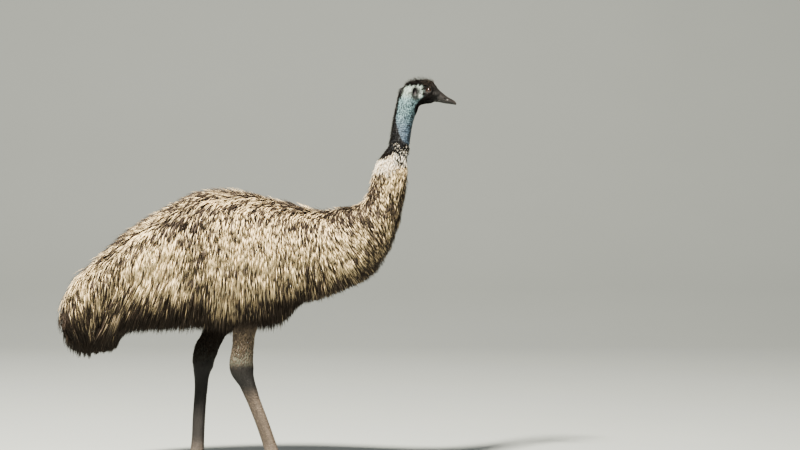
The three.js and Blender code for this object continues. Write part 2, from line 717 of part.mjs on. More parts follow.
// Where the wing's limb meets the side of the core
function wingRoot(sign, forward) {
  const along = placeOf("chest") + core.share(placeOf("chest"), WING.at[0] - BODY[7].at[0] + forward);
  return core.point(along, sign * Math.PI * 0.5, -WING.sink);
}

function wingCoat(side, grow) {
  const random = randomNumbers(WING.seed);
  const sign = SIDES[side];
  const sites = [];
  for (let i = 0; i < WING.locks; i++) {
    const share = i / (WING.locks - 1) - 0.5;
    const along = placeOf("chest") + core.share(placeOf("chest"), 57 - share * WING.spread);
    sites.push({
      along,
      angle: sign * (Math.PI * 0.5 - 0.05 + (i % 2) * 0.12 + share * 0.12),
      length: WING.length * (0.9 + 0.25 * random()),
      width: WING.width,
      lift: liftAt(along, 1) + 9,
      turn: LOCK.sway * (random() - 0.5),
      low: 0,
    });
  }
  return coated(wingSolid(side, grow), sites, grow);
}

// Assembly
const emu = new THREE.Group();
const legs = { right: legPieces("right"), left: legPieces("left") };
const sides = Object.keys(SIDES);

const middleSites = ringSites("bare", NECK_MIDDLE_COAT);
const lowerSites = rowSites("shoulder", "nape", NECK_LOWER_COAT);
const torsoSites = rowSites("rump", "shoulder", TORSO_COAT, ({ along, angle }) => {
  const { x } = core.point(along, angle);
  const side = angle < 0 ? "right" : "left";
  const degrees = THREE.MathUtils.radToDeg(Math.abs(angle));
  const byLeg = degrees > LEG_ROOM.angle && Math.abs(x - LEGS[side][1].at[0]) < LEG_ROOM.reach;
  const [upper, lower] = WING_ROOM.angles;
  const byWing = x > WING_ROOM.from && x < WING_ROOM.to && degrees > upper && degrees < lower;
  return !byLeg && !byWing;
});
const tailSites = ringSites("rump", TAIL_COAT, placeOf("tail"));

const neckMiddle = (grow) => coated(coreStretch("nape", "bare", 14, 6, { grow }), middleSites, grow);
const neckLower = (grow) => coated(coreStretch("shoulder", "nape", 16, 5, { grow }), lowerSites, grow);
const torsoCoat = (grow) => coated(coreStretch("rump", "shoulder", 20, 9, { grow }), torsoSites, grow);
const tailCore = coreStretch("tail", "rump", 16, 5, { open: true, closes: TAIL_CLOSES });
const neckUpper = coreStretch("bare", "top", 16, 7);
const wings = sides.map((side) => wingCoat(side, 0));
const roomForWings = sides.map((side) => wingCoat(side, GAP).add(wingCoat(side, 0)));
const roomForLegs = sides.map((side) => legs[side].clearance);
const thighs = sides.map((side) => legs[side].thigh);

// Each piece gives way to the locks of the one above it
const roomFor = (piece) => piece(GAP).add(piece(0));
const middleCut = cut(neckMiddle(0), [coreStretch("bare", "top", 16, 7, { grow: GAP })]);
const lowerCut = cut(neckLower(0), [roomFor(neckMiddle)]);
const roomForNeck = roomFor(neckLower);
const torsoCut = cut(join([torsoCoat(0), ...thighs]), [roomForNeck, ...roomForWings, ...roomForLegs]);
const tailCut = cut(coated(tailCore, tailSites, 0), [roomFor(torsoCoat), ...roomForLegs]);

emu.add(node("torso", torsoCut, "coat"));
emu.add(node("tail", tailCut, "dark_coat"));
emu.add(node("neck_lower", lowerCut, "coat"));
emu.add(node("neck_middle", middleCut, "coat"));
emu.add(node("neck_upper", neckUpper, "neck_skin"));

const { head, upperBill, lowerBill, eyes } = headPieces();
emu.add(node("head", head, "head_skin"));
emu.add(node("bill_upper", upperBill, "bill"));
emu.add(node("bill_lower", lowerBill, "bill"));

sides.forEach((side, i) => {
  const { upper, shank, ankle } = legs[side];
  const { foot, claws } = footPieces(side, ankle);
  emu.add(node(`wing_${side}`, cut(wings[i], [roomForNeck]), "coat"));
  emu.add(node(`eye_${side}`, eyes[side], "eye"));
  emu.add(node(`upper_leg_${side}`, upper, "leg_skin"));
  emu.add(node(`shank_${side}`, shank, "leg_skin"));
  emu.add(node(`foot_${side}`, foot, "leg_skin"));
  for (const [name, claw] of Object.entries(claws)) emu.add(node(`claw_${side}_${name}`, claw, "claw"));
});

export default emu;
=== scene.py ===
"""A life-size emu in its walking pose: one skin under a shaggy coat of feathers."""

import itertools
import math
from collections import namedtuple

import bpy
import numpy as np
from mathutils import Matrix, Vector


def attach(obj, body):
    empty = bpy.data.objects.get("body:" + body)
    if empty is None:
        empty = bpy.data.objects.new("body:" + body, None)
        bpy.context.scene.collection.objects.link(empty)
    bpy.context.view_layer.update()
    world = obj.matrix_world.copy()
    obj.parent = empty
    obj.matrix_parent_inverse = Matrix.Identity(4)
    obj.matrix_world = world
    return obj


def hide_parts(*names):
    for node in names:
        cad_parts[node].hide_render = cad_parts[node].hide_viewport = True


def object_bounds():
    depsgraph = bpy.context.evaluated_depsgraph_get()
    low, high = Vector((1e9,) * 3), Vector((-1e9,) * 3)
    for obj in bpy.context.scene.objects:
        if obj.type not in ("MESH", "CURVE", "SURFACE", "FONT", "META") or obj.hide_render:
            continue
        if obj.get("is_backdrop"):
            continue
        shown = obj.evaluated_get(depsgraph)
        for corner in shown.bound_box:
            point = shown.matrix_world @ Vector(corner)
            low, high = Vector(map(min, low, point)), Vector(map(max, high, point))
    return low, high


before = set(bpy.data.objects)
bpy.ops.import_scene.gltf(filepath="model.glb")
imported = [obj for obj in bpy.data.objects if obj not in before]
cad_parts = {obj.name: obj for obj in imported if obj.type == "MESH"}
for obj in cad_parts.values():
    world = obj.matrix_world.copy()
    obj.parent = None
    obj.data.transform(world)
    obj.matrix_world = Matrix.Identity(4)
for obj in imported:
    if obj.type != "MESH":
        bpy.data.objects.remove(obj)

CAD_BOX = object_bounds()
MM = 0.001
SIDES = {"right": -1, "left": 1}

# Body stations from the tail's tip to the skull: middle, reach up, down and sideways, depth of the coat
# above and below, lie of the feathers, then their length, width, and number on a square decimetre
Station = namedtuple("Station", "name at up down side coat under lie length width number")
BARE = (0, 0, -0.2, 10, 0.9, 0)  # from the coat's depth to the number, where the neck is bare
BODY = [
    Station("tail_end", (-634, 476), 84, 84, 84, 60, 66, -0.05, 112, 5.4, 520),
    Station("tail", (-621, 536), 130, 128, 128, 70, 82, -0.08, 132, 5.6, 480),
    Station("train", (-591, 635), 137, 142, 164, 76, 76, -0.25, 138, 5.8, 440),
    Station("rump", (-519, 722), 122, 190, 194, 66, 86, -0.42, 112, 5.3, 440),
    Station("hip", (-393, 794), 160, 250, 220, 56, 146, -0.32, 92, 5.0, 460),
    Station("loin", (-222, 817), 241, 275, 236, 52, 190, -0.14, 80, 4.7, 480),
    Station("back", (-51, 825), 239, 280, 230, 52, 180, 0, 76, 4.6, 490),
    Station("chest", (101, 836), 194, 240, 200, 50, 110, 0.04, 72, 4.5, 510),
    Station("shoulder", (215, 844), 158, 182, 165, 48, 56, 0.12, 68, 4.3, 550),
    Station("crop", (321, 863), 144, 158, 134, 46, 50, 0.55, 64, 4.1, 600),
    Station("bend", (401, 912), 129, 133, 110, 42, 46, 0.7, 60, 3.9, 660),
    Station("nape", (458, 984), 84, 97, 88, 36, 42, 0.3, 54, 3.6, 800),
    Station("rise", (486, 1056), 68, 80, 70, 28, 36, 0.06, 46, 3.3, 1000),
    Station("ruff", (504, 1129), 68, 74, 64, 28, 38, -0.05, 38, 2.8, 1250),
    Station("collar", (521, 1184), 60, 57, 52, 26, 28, -0.12, 28, 2.3, 1600),
    Station("bare", (534, 1227), 42, 37, 37, 8, 4, -0.2, 22, 2.1, 1500),
    Station("throat", (541, 1265), 38, 35, 34, 0, 0, -0.2, 15, 1.8, 1100),
    Station("blue", (547, 1311), 37, 35, 33, *BARE),
    Station("upper", (556, 1357), 38, 37, 33, *BARE),
    Station("top", (566, 1395), 39, 41, 33, *BARE),
    Station("nape_bone", (576, 1420), 44, 40, 32, *BARE),
    Station("skull_base", (587, 1442), 40, 34, 29, *BARE),
    Station("in_skull", (595, 1458), 14, 16, 14, *BARE),
]
CORE = 0.5  # share of the coat's depth that the skin fills
PARTED = 0.5  # and of that share along the parting of the back
TAIL_CLOSES = 95
NECK_JOINT = dict(height=1160, overlap=20, cut=1138.5, shrink=1.6)  # where the neck's skin meets the body's
WING = dict(at=(158, 838), half=(66, 15, 34), droop=0.62, sunk=12, round_body=190)

# Head stations from the back of the skull to the bill's tip: middle, reach up, down and sideways
HEAD = [
    ((549, 1450), 8, 10, 8), ((567, 1451), 27, 31, 23), ((592, 1450), 36, 43, 31), ((618, 1448), 40, 47, 33),
    ((641, 1444), 43, 42, 31), ((661, 1438), 37, 34, 26), ((679, 1432), 22, 24, 19),
    ((694, 1424.5), 17.5, 18.5, 17.5), ((712, 1416.5), 13, 14, 16), ((730, 1410), 10, 9.5, 13.5),
    ((743, 1405.5), 7, 7, 9), ((751.5, 1400.5), 2.5, 3, 4),
]
BILL_ROOT = 6 / (len(HEAD) - 1)
SKULL_END = 691
MOUTH_LINE = [(636, 1415), (652, 1414), (679, 1417.5), (712, 1410.5), (760, 1396)]
MOUTH = dict(slope=1.6, half=1.5, deep=3.5)
EYE = dict(at=(646, 1452), out=17, radius=14.5, opening=(9.6, 7.2), hollow_out=36, hollow=(15.5, 8.5, 12))
LIDS = dict(out=28.6, wider=(1.6, 1.4), thick=1.9)
EAR = dict(at=(594, 1447), out=30, half=(7.5, 14.5), rim=1.5, thick=2)
NOSTRIL = dict(at=(711, 1420), half=(7.5, 2.6), deep=3.2, slope=-0.42)
# Swellings round the eye: how far ahead of it, above it, and out from the middle plane, and half sizes
SWELLINGS = {
    "brow": dict(ahead=-3, up=12, out=24, half=(20, 7, 5), blend=6),
    "jaw muscle": dict(ahead=-22, up=-20, out=23, half=(19, 9, 13), blend=9),
    "lore": dict(ahead=18, up=-14, out=17, half=(20, 8, 8), blend=7),
    "cheek bone": dict(ahead=-4, up=-12.5, out=24, half=(14, 5, 3.5), blend=4),
}
SKIN_CELL = dict(head=1.3, leg=2.1)  # size of the cells in which these parts of the skin are made
BARE_NECK = (1195, 1215)  # heights between which the neck's skin turns bare

# Leg stations from inside the belly to the ankle
LEGS = {
    "right": [
        ((12, 690), 80, 95, 62), ((-22, 625), 46, 60, 52), ((-43, 552), 36, 43, 39),
        ((-50, 505), 36, 38, 33), ((-54, 465), 38, 41, 31), ((-59, 425), 43, 45, 32),
        ((-57, 398), 44, 45, 32), ((-50, 375), 38, 38, 28), ((-40, 351), 31, 31, 24),
        ((-27, 315), 27, 27, 20), ((-13, 277), 24, 24, 18.5), ((16, 201), 23.5, 23.5, 18),
        ((42, 125), 24, 24, 20), ((55, 84), 25, 26, 24), ((66, 46), 26, 30, 28),
    ],
    "left": [
        ((-66, 690), 95, 95, 62), ((-104, 625), 66, 68, 52), ((-159, 552), 43, 44, 39),
        ((-185, 505), 39, 39, 33), ((-205, 462), 43, 43, 31), ((-215, 425), 41, 42, 32),
        ((-217, 404), 39, 40, 32), ((-221, 378), 32, 33, 28), ((-223, 350), 27, 27.5, 24),
        ((-225, 315), 24.5, 24.5, 20), ((-228, 277), 23.5, 23.5, 18.5), ((-233, 201), 23.5, 23.5, 18),
        ((-236, 125), 23.5, 23.5, 20), ((-238, 84), 25, 26, 24), ((-240, 46), 26, 30, 28),
    ],
}
STANCE = {"right": dict(hip=112, hock=88, foot=80), "left": dict(hip=112, hock=68, foot=36)}
HIP_HEIGHT = 690
HOCK_HEIGHT = 412
THIGH_TOP = 694
SHANK_SCUTE = dict(high=11, raise_by=1.3, half_angle=1.05, top=345, fade=25)
TENDON_GROOVE = dict(top=380, full=330, deep=1.6, angle=2.0, width=0.35)
ANKLE = dict(back=2, height=27, half=(33, 27, 30))
TOES = [
    dict(name="inner", length=76, splay=27, half=13.5, scutes=5, claw=24),
    dict(name="middle", length=118, splay=0, half=16.5, scutes=8, claw=30),
    dict(name="outer", length=72, splay=-29, half=13.5, scutes=5, claw=23),
]
TOE = dict(root=30, tip=11, root_up=15, tip_up=9, back=6, pads=3, swell=0.07, taper=0.22, rounds=(0.85, 0.15))
TOE_SCUTE = dict(raise_by=1.3, half_angle=1.1, start=0.12)

# Lower edge of the coat along the body, from tail to neck
HEM = [
    (-760, 508), (-746, 496), (-720, 477), (-690, 467), (-640, 462), (-590, 464), (-545, 473), (-520, 490),
    (-500, 512), (-470, 536), (-203, 543), (-160, 528), (-110, 520), (-70, 536), (-20, 542), (45, 540),
    (75, 552), (115, 590), (150, 636), (172, 655), (235, 664), (311, 695), (395, 730), (451, 771), (488, 836),
    (514, 880), (538, 925), (548, 960), (558, 1005), (567, 1060), (578, 1105), (600, 1150),
]
# Height of the dark fringe over the hem, along the body: partly the coat's own darker feathers, partly
# painted shade where the body turns under
FRINGE = [
    (-760, 100), (-640, 112), (-560, 130), (-500, 118), (-440, 95), (-200, 86), (-90, 56), (0, 84),
    (80, 96), (110, 62), (150, 34), (330, 26), (420, 30), (520, 26), (560, 14),
]
# Front edge of the neck by height
NECK_FRONT = [
    (885, 527), (916, 538), (954, 542), (992, 550), (1037, 557), (1075, 561), (1113, 565), (1150, 575),
]
# The fold between breast and thigh, darkened with painted shade: its ends, half its width, and how far over
# them it fades
FOLD = dict(upper=(94, 802), lower=(120, 657), half=15, over=25, within=35, below=75)
# Soft spots of the coat: strength, middle, half sizes, and rise for each millimetre ahead
# Paler spots, partly painted light where light falls on the rump and the flank's middle
PALE_AND_LIT_SPOTS = [
    (1, (-370, 775), (105, 120), 0), (0.9, (-10, 840), (190, 130), 0),
    (0.5, (310, 850), (110, 80), 0), (0.6, (520, 1120), (60, 70), 0),
]
DUSKY = [(0.7, (-305, 935), (95, 45), 0.5), (0.6, (352, 965), (65, 30), 0), (0.8, (428, 1037), (24, 60), 0)]
TAIL_PIT = [(1, (-540, 565), (42, 60), 0)]  # the hollow between tail and flank, where the coat is fuller
LOCK = dict(rows=0.31, across=1.8)  # a lock's length as a share of its feathers', and its width in feathers
COAT_PIECES = [
    ("tail_coat", "tail_end", "rump"), ("rump_coat", "rump", "loin"), ("back_coat", "loin", "chest"),
    ("breast_coat", "chest", "nape"), ("neck_coat", "nape", "in_skull"),
]
FEATHER = dict(steps=3, sunk=7.0, half=(0.7, 1.0, 0.72), thick=(1.0, 0.9, 0.6), stray=0.025, shortest=18)
HAIR = dict(steps=2, sunk=0.8, half=(0.9, 0.8), thick=(1.0, 0.8))
LEG_FEATHERS = dict(low=385, full=440, high=610, number=760, reach=110)
PIECE_TRIANGLES = 195000

# Edges of the dark head and nape, by height
THROAT_EDGE = [(1340, 612), (1372, 596), (1392, 596), (1404, 606), (1428, 630)]
NECK_AXIS = [
    (1180, 521), (1265, 541), (1311, 547), (1357, 556), (1395, 566), (1420, 576), (1445, 592), (1490, 600),
]
NECK_REACH = [(1180, 50), (1265, 38), (1311, 37), (1357, 38), (1395, 39), (1420, 44), (1445, 44), (1490, 40)]
NAPE_EDGE = [(1232, -1.3), (1250, -0.7), (1266, -0.1), (1303, 0.4), (1341, 0.76), (1400, 0.92)]

# Colours of the feathers, from the darkest tone to the lightest, then of their ends and their rusty tint
BLACK = (0.0018, 0.0015, 0.0013, 1)
DARK = (0.020, 0.0135, 0.009, 1)
BROWN = (0.082, 0.060, 0.041, 1)
STRAW = (0.95, 0.735, 0.40, 1)
WHITE = (0.90, 0.86, 0.76, 1)
ROOT = (0.048, 0.034, 0.023, 1)
RUSTY = (1.0, 0.84, 0.66, 1)
# Colours of the skin
UNDER_COAT = (0.012, 0.009, 0.007)
PALE_BLUE = (0.060, 0.108, 0.114)
DEEP_BLUE = (0.045, 0.070, 0.098)
CRESCENT = (0.135, 0.172, 0.145)
DARK_ROUND_EAR = (0.008, 0.010, 0.009)
EAR_SPOT = dict(colour=(0.45, 0.50, 0.45), spots=[(0.9, (613, 1431), (5, 7), 0)])
NAPE = (0.008, 0.0075, 0.008)
FACE = (0.0045, 0.004, 0.0035)
LID = (0.004, 0.0035, 0.003)
# Painted shade inside the ear hole and the mouth's slit
HOLE_SHADE = (0.006, 0.005, 0.005)
SHANK = (0.005, 0.004, 0.003)
LEG_DOWN = (0.075, 0.078, 0.054)
# Colours of each leg; the left leg, the far one, is darker all over: painted shade where the body shades it
LEG_PAINT_WITH_FAR_SHADE = {
    "right": dict(scales=(0.105, 0.08, 0.058), foot=(0.14, 0.11, 0.085), down=0.8, feathers=0.33),
    "left": dict(scales=(0.009, 0.007, 0.0055), foot=(0.09, 0.072, 0.057), down=0.1, feathers=0.04),
}
BILL_HORN = dict(dark=(0.004, 0.0033, 0.003, 1), light=(0.014, 0.0115, 0.0095, 1), rough=0.46)
CLAW_HORN = dict(dark=(0.02, 0.017, 0.015, 1), light=(0.07, 0.06, 0.05, 1), rough=0.38)

CAMERA = dict(place=(0.538, -9.0, 1.2), target=(0.538, 0.0, 0.942), lens=106.6)
FLOOR = dict(half_width=14, colour=(0.21, 0.225, 0.215, 1), rough=0.9)
# Section of the floor, which rises to a back wall
FLOOR_LINE = [(-16.0, 0.0), (6.0, 0.0), (8.0, 0.25), (9.4, 1.2), (10.0, 2.8), (10.2, 9.0)]
SKY = dict(colour=(0.80, 0.88, 1.0, 1), strength=0.24)
LIGHTS = {
    "key": dict(place=(-1.5, -3.8, 6.6), target=(0, 0, 0.9), size=0.8, power=6200, colour=(1.0, 0.94, 0.82)),
    "fill": dict(place=(2.5, -6.0, 2.4), target=(0, 0, 0.8), size=3.0, power=90, colour=(0.92, 0.96, 1.0)),
    "rim": dict(place=(-2.0, 4.5, 4.2), target=(0, 0, 0.9), size=2.0, power=150, colour=(1.0, 0.97, 0.9)),
}


def spline(points, centripetal):
    """Cubic pieces through points, as four coefficients each."""
    p = np.array(points, float)
    p = np.vstack([2 * p[0] - p[1], p, 2 * p[-1] - p[-2]])
    a, b, c, d = p[:-3], p[1:-2], p[2:-1], p[3:]
    if centripetal:
        pairs = ((a, b), (b, c), (c, d))
        gap = [np.sqrt(np.linalg.norm(end - start, axis=1))[:, None] for start, end in pairs]
        out = ((b - a) / gap[0] - (c - a) / (gap[0] + gap[1]) + (c - b) / gap[1]) * gap[1]
        into = ((c - b) / gap[1] - (d - b) / (gap[1] + gap[2]) + (d - c) / gap[2]) * gap[1]
    else:
        out, into = (c - a) / 2, (d - b) / 2
    return np.stack([b, out, 3 * (c - b) - 2 * out - into, 2 * (b - c) + out + into], axis=1)


def on_spline(pieces, place, slope=False):
    p = np.clip(place, 0, 1) * len(pieces)
    i = np.minimum(p.astype(int), len(pieces) - 1)
    w = (p - i)[..., None]
    k = pieces[i]
    if slope:
        return k[..., 1, :] + w * (2 * k[..., 2, :] + 3 * w * k[..., 3, :])
    return k[..., 0, :] + w * (k[..., 1, :] + w * (k[..., 2, :] + w * k[..., 3, :]))


def unit(v):
    return v / np.maximum(np.linalg.norm(v, axis=-1, keepdims=True), 1e-9)


def dot(a, b):
    return np.sum(a * b, axis=-1, keepdims=True)


def ramp(value, low, high):
    t = np.clip((value - low) / (high - low), 0, 1)
    return t * t * (3 - 2 * t)


def at(line, value):
    """The second value of a line of pairs, where the first has the given value."""
    return np.interp(value, *zip(*line))


def angles_around(count):
    return np.linspace(0, math.tau, count + 1)[:-1]


def soft_spots(x, z, spots):
    total = 0
    for strength, (mid_x, mid_z), (half_x, half_z), slant in spots:
        up = z - mid_z - slant * (x - mid_x)
        total = total + strength * np.exp(-(((x - mid_x) / half_x) ** 2 + (up / half_z) ** 2))
    return total


def oval(x, z, middle, half):
    """Distance from an oval's middle, 1 on its edge."""
    return np.hypot((x - middle[0]) / half[0], (z - middle[1]) / half[1])


class Tube:
    """A round form along a curve; angle 0 is its upper side, positive towards the left."""

    def __init__(self, middles, radii):
        self.spine = spline(middles, True)
        self.radii = spline(radii, False)

    def frame(self, place):
        tangent = unit(on_spline(self.spine, place, slope=True))
        lateral = unit(np.array([0.0, 1.0, 0.0]) - tangent * tangent[..., 1:2])
        return on_spline(self.spine, place), tangent, lateral, np.cross(tangent, lateral)

    def section(self, place, angle):
        up, down, side = np.moveaxis(on_spline(self.radii, place), -1, 0)
        return np.where(np.cos(angle) >= 0, up, down), side

    def normal(self, place, angle):
        _, _, lateral, dorsal = self.frame(place)
        rise, side = self.section(place, angle)
        return unit(dorsal * (np.cos(angle) / rise)[..., None] + lateral * (np.sin(angle) / side)[..., None])

    def point(self, place, angle, height=0.0, share=1.0):
        """A point on the surface, or a height over it, with its section shrunk to a share."""
        middle, _, lateral, dorsal = self.frame(place)
        rise, side = self.section(place, angle)
        share = np.broadcast_to(share, np.shape(place))
        skin = middle + dorsal * (np.cos(angle) * rise * share)[..., None]
        skin = skin + lateral * (np.sin(angle) * side * share)[..., None]
        if np.ndim(height) == 0 and height == 0:
            return skin
        return skin + self.normal(place, angle) * np.broadcast_to(height, np.shape(place))[..., None]

    def local(self, points, start, end, samples=110):
        """Place along the tube, then offset upward, sideways and ahead of points from the nearest middle."""
        places = np.linspace(start, end, samples)
        middles = on_spline(self.spine, places)
        speed = np.linalg.norm(on_spline(self.spine, places, slope=True), axis=1) * len(self.spine)
        nearest = np.empty(len(points), int)
        square = np.sum(middles**2, axis=1)
        batch = 40000
        for first in range(0, len(points), batch):
            part = points[first:first + batch]
            nearest[first:first + batch] = np.argmin(square - 2 * part @ middles.T, axis=1)
        tangent = unit(on_spline(self.spine, places[nearest], slope=True))
        ahead = dot(points - middles[nearest], tangent)[:, 0]
        place = np.clip(places[nearest] + ahead / speed[nearest], start, end)
        middle, tangent, lateral, dorsal = self.frame(place)
        away = points - middle
        return place, dot(away, dorsal)[:, 0], dot(away, lateral)[:, 0], dot(away, tangent)[:, 0]

    def field(self, points, start, end, found=None):
        """Distance of points to the tube's skin, below zero inside."""
        place, up, out, past = self.local(points, start, end) if found is None else found
        top, bottom, side = on_spline(self.radii, place).T
        rise = np.where(up >= 0, top, bottom)
        least = np.minimum(rise, side)
        near = np.sqrt((up / rise) ** 2 + (out / side) ** 2 + (past / least) ** 2)
        steep = np.sqrt((up / rise**2) ** 2 + (out / side**2) ** 2 + (past / least**2) ** 2)
        return np.where(near < 1e-3, -least, near * (near - 1) / np.maximum(steep, 1e-6))


def body_tube(fill):
    middles = [(s.at[0], 0, s.at[1]) for s in BODY]
    radii = [(s.up - s.coat * fill * PARTED, s.down - s.under * fill, s.side - s.coat * fill) for s in BODY]
    return Tube(middles, radii)


def place_of(name):
    return [s.name for s in BODY].index(name) / (len(BODY) - 1)


def body_value(key, place):
    values = [getattr(s, key) for s in BODY]
    return np.interp(np.clip(place, 0, 1) * (len(BODY) - 1), range(len(BODY)), values)


def leg_sideways(side, height):
    stance = STANCE[side]
    below = stance["foot"] + (stance["hock"] - stance["foot"]) * np.clip(height / HOCK_HEIGHT, 0, 1)
    knee = np.clip((height - HOCK_HEIGHT) / (HIP_HEIGHT - HOCK_HEIGHT), 0, 1)
    return SIDES[side] * (below + (stance["hip"] - below) * knee)


def leg_tube(side):
    middles = [(x, leg_sideways(side, z), z) for (x, z), *_ in LEGS[side]]
    return Tube(middles, [radii for _, *radii in LEGS[side]])


core = body_tube(CORE)
head_tube = Tube([(x, 0, z) for (x, z), *_ in HEAD], [radii for _, *radii in HEAD])
leg_tubes = {side: leg_tube(side) for side in SIDES}


# Distances to simple forms and ways to merge them
def smooth_min(a, b, blend):
    near = np.maximum(blend - np.abs(a - b), 0) / blend
    return np.minimum(a, b) - near * near * blend / 4


def smooth_max(a, b, blend):
    return -smooth_min(-a, -b, blend)


def ball(points, middle, half):
    away = points - np.array(middle, float)
    near = np.linalg.norm(away / half, axis=1)
    steep = np.linalg.norm(away / np.square(half), axis=1)
    return np.where(near < 1e-3, -min(half), near * (near - 1) / np.maximum(steep, 1e-6))


def hoop(points, middle, half, thick):
    x, y, z = (points - np.array(middle, float)).T
    radial = (np.hypot(x / half[0], z / half[1]) - 1) * (half[0] + half[1]) / 2
    return np.hypot(radial, y) - thick


def fill_diagonals(grid, step):
    """Fills cells whose corners touch only across a face, so that every edge has two faces."""
    for _ in range(4):
        for axis in range(3):
            view = np.moveaxis(grid, axis, 0)
            a, b, c, d = view[:, :-1, :-1], view[:, 1:, :-1], view[:, :-1, 1:], view[:, 1:, 1:]
            doubtful = ((a < 0) == (d < 0)) & ((b < 0) == (c < 0)) & ((a < 0) != (b < 0))
            for corner in (a, b, c, d):
                corner[doubtful & (corner >= 0)] = -0.02 * step


def sampled(field, low, high, step):
    """A distance field on a grid, worked out in full near its zero level alone."""
    block = 4
    count = np.ceil((np.array(high) - low) / (step * block)).astype(int)
    corners = np.indices(count).reshape(3, -1).T
    coarse = field(low + (corners * block + 1.5) * step)
    grid = np.repeat(np.repeat(np.repeat(coarse.reshape(count), block, 0), block, 1), block, 2)
    close = corners[np.abs(coarse) < step * block * 1.35] * block
    inner = np.indices((block,) * 3).reshape(3, -1).T
    cells = (close[:, None] + inner).reshape(-1, 3)
    grid[tuple(cells.T)] = field(low + cells * step)
    fill_diagonals(grid, step)
    return grid


def surface_of(name, field, low, high, step):
    """A mesh on the zero level of a distance field: a vertex in each cell that the level crosses."""
    low = np.array(low, float)
    grid = sampled(field, low, high, step)
    inside = grid < 0
    shape = np.array(grid.shape)
    filled = np.zeros(shape - 1, np.uint8)
    for corner in itertools.product((0, 1), repeat=3):
        filled += inside[tuple(slice(c, n - 1 + c) for c, n in zip(corner, shape))]
    mixed = (filled > 0) & (filled < 8)
    cells = np.argwhere(mixed)
    number = np.full(mixed.shape, -1)
    number[mixed] = np.arange(len(cells))
    total = np.zeros((len(cells), 3))
    hits = np.zeros(len(cells))
    quads = []
    for axis in range(3):
        a, b = (axis + 1) % 3, (axis + 2) % 3
        ahead, over_a, over_b = np.eye(3, dtype=int)[[axis, a, b]]
        for i, j in itertools.product((0, 1), repeat=2):
            start = cells + i * over_a + j * over_b
            first = grid[tuple(start.T)]
            second = grid[tuple((start + ahead).T)]
            crossed = (first < 0) != (second < 0)
            share = first[crossed] / (first[crossed] - second[crossed])
            total[crossed] += start[crossed] + share[:, None] * ahead
            hits[crossed] += 1
        begin = np.take(inside, range(shape[axis] - 1), axis)
        edges = np.argwhere(begin != np.take(inside, range(1, shape[axis]), axis))
        across = edges[:, [a, b]]
        edges = edges[np.all((across > 0) & (across < shape[[a, b]] - 1), axis=1)]
        round_edge = ((0, 0), (1, 0), (1, 1), (0, 1))
        ring = [number[tuple((edges - u * over_a - v * over_b).T)] for u, v in round_edge]
        quad = np.stack(ring, axis=1)
        outward = inside[tuple(edges.T)]
        quads.append(np.where(outward[:, None], quad, quad[:, ::-1]))
    return new_mesh(name, low + total / hits[:, None] * step, halved(np.vstack(quads)))


# Meshes
def new_mesh(name, points, faces):
    """An object from points in millimetres and faces that all have the same number of corners."""
    mesh = bpy.data.meshes.new(name)
    mesh.vertices.add(len(points))
    mesh.vertices.foreach_set("co", (points * MM).astype(np.float32).ravel())
    mesh.loops.add(faces.size)
    mesh.loops.foreach_set("vertex_index", faces.astype(np.int32).ravel())
    mesh.polygons.add(len(faces))
    mesh.polygons.foreach_set("loop_start", np.arange(0, faces.size, faces.shape[1], dtype=np.int32))
    mesh.update(calc_edges=True)
    mesh.shade_smooth()
    piece = bpy.data.objects.new(name, mesh)
    bpy.context.collection.objects.link(piece)
    return piece


def grid_faces(rings, around, closed=True):
    """Quads between rings of points, or between the rows of an open sheet."""
    i = np.arange(rings - 1)[:, None] * around
    j = np.arange(around if closed else around - 1)
    k = (j + 1) % around
    return np.stack([i + j, i + k, i + around + k, i + around + j], axis=-1).reshape(-1, 4)


def halved(quads):
    return np.vstack([quads[:, [0, 1, 2]], quads[:, [0, 2, 3]]])


def turned_out(points, tris):
    """Triangles of closed forms, reversed where they would face inwards."""
    a, b, c = np.moveaxis(points[..., tris, :], -2, 0)
    return tris[:, ::-1] if np.sum(a * np.cross(b, c)) < 0 else tris


def lofted(name, rings):
    """A closed mesh over rings of points, each end drawn in to its middle."""
    count, around, _ = rings.shape
    points = np.vstack([rings.reshape(-1, 3), rings[0].mean(0), rings[-1].mean(0)])
    first, last = count * around, count * around + 1
    j = np.arange(around)
    k = (j + 1) % around
    base = (count - 1) * around
    start_fan = np.stack([k, j, np.full(around, first)], axis=1)
    end_fan = np.stack([base + j, base + k, np.full(around, last)], axis=1)
    tris = np.vstack([halved(grid_faces(count, around)), start_fan, end_fan])
    return new_mesh(name, points, turned_out(points, tris))


def read_vertices(piece, key):
    values = np.empty(len(piece.data.vertices) * 3, np.float32)
    piece.data.vertices.foreach_get(key, values)
    return values.reshape(-1, 3).astype(float)


def points_of(piece):
    return read_vertices(piece, "co") / MM


def merged(name, pieces):
    """All pieces as one closed surface, in the first of them."""
    whole = pieces[0]
    for other in pieces[1:]:
        union = whole.modifiers.new("join", "BOOLEAN")
        union.operation = "UNION"
        union.solver = "MANIFOLD"
        union.object = other
    bpy.context.view_layer.update()
    made = bpy.data.meshes.new_from_object(whole.evaluated_get(bpy.context.evaluated_depsgraph_get()))
    whole.modifiers.clear()
    whole.data = made
    for other in pieces[1:]:
        bpy.data.objects.remove(other)
    made.shade_smooth()
    whole.name = name
    return whole


def add_attribute(piece, name, values):
    single = values.ndim == 1
    field = piece.data.attributes.new(name, "FLOAT" if single else "FLOAT_VECTOR", "POINT")
    field.data.foreach_set("value" if single else "vector", values.astype(np.float32).ravel())


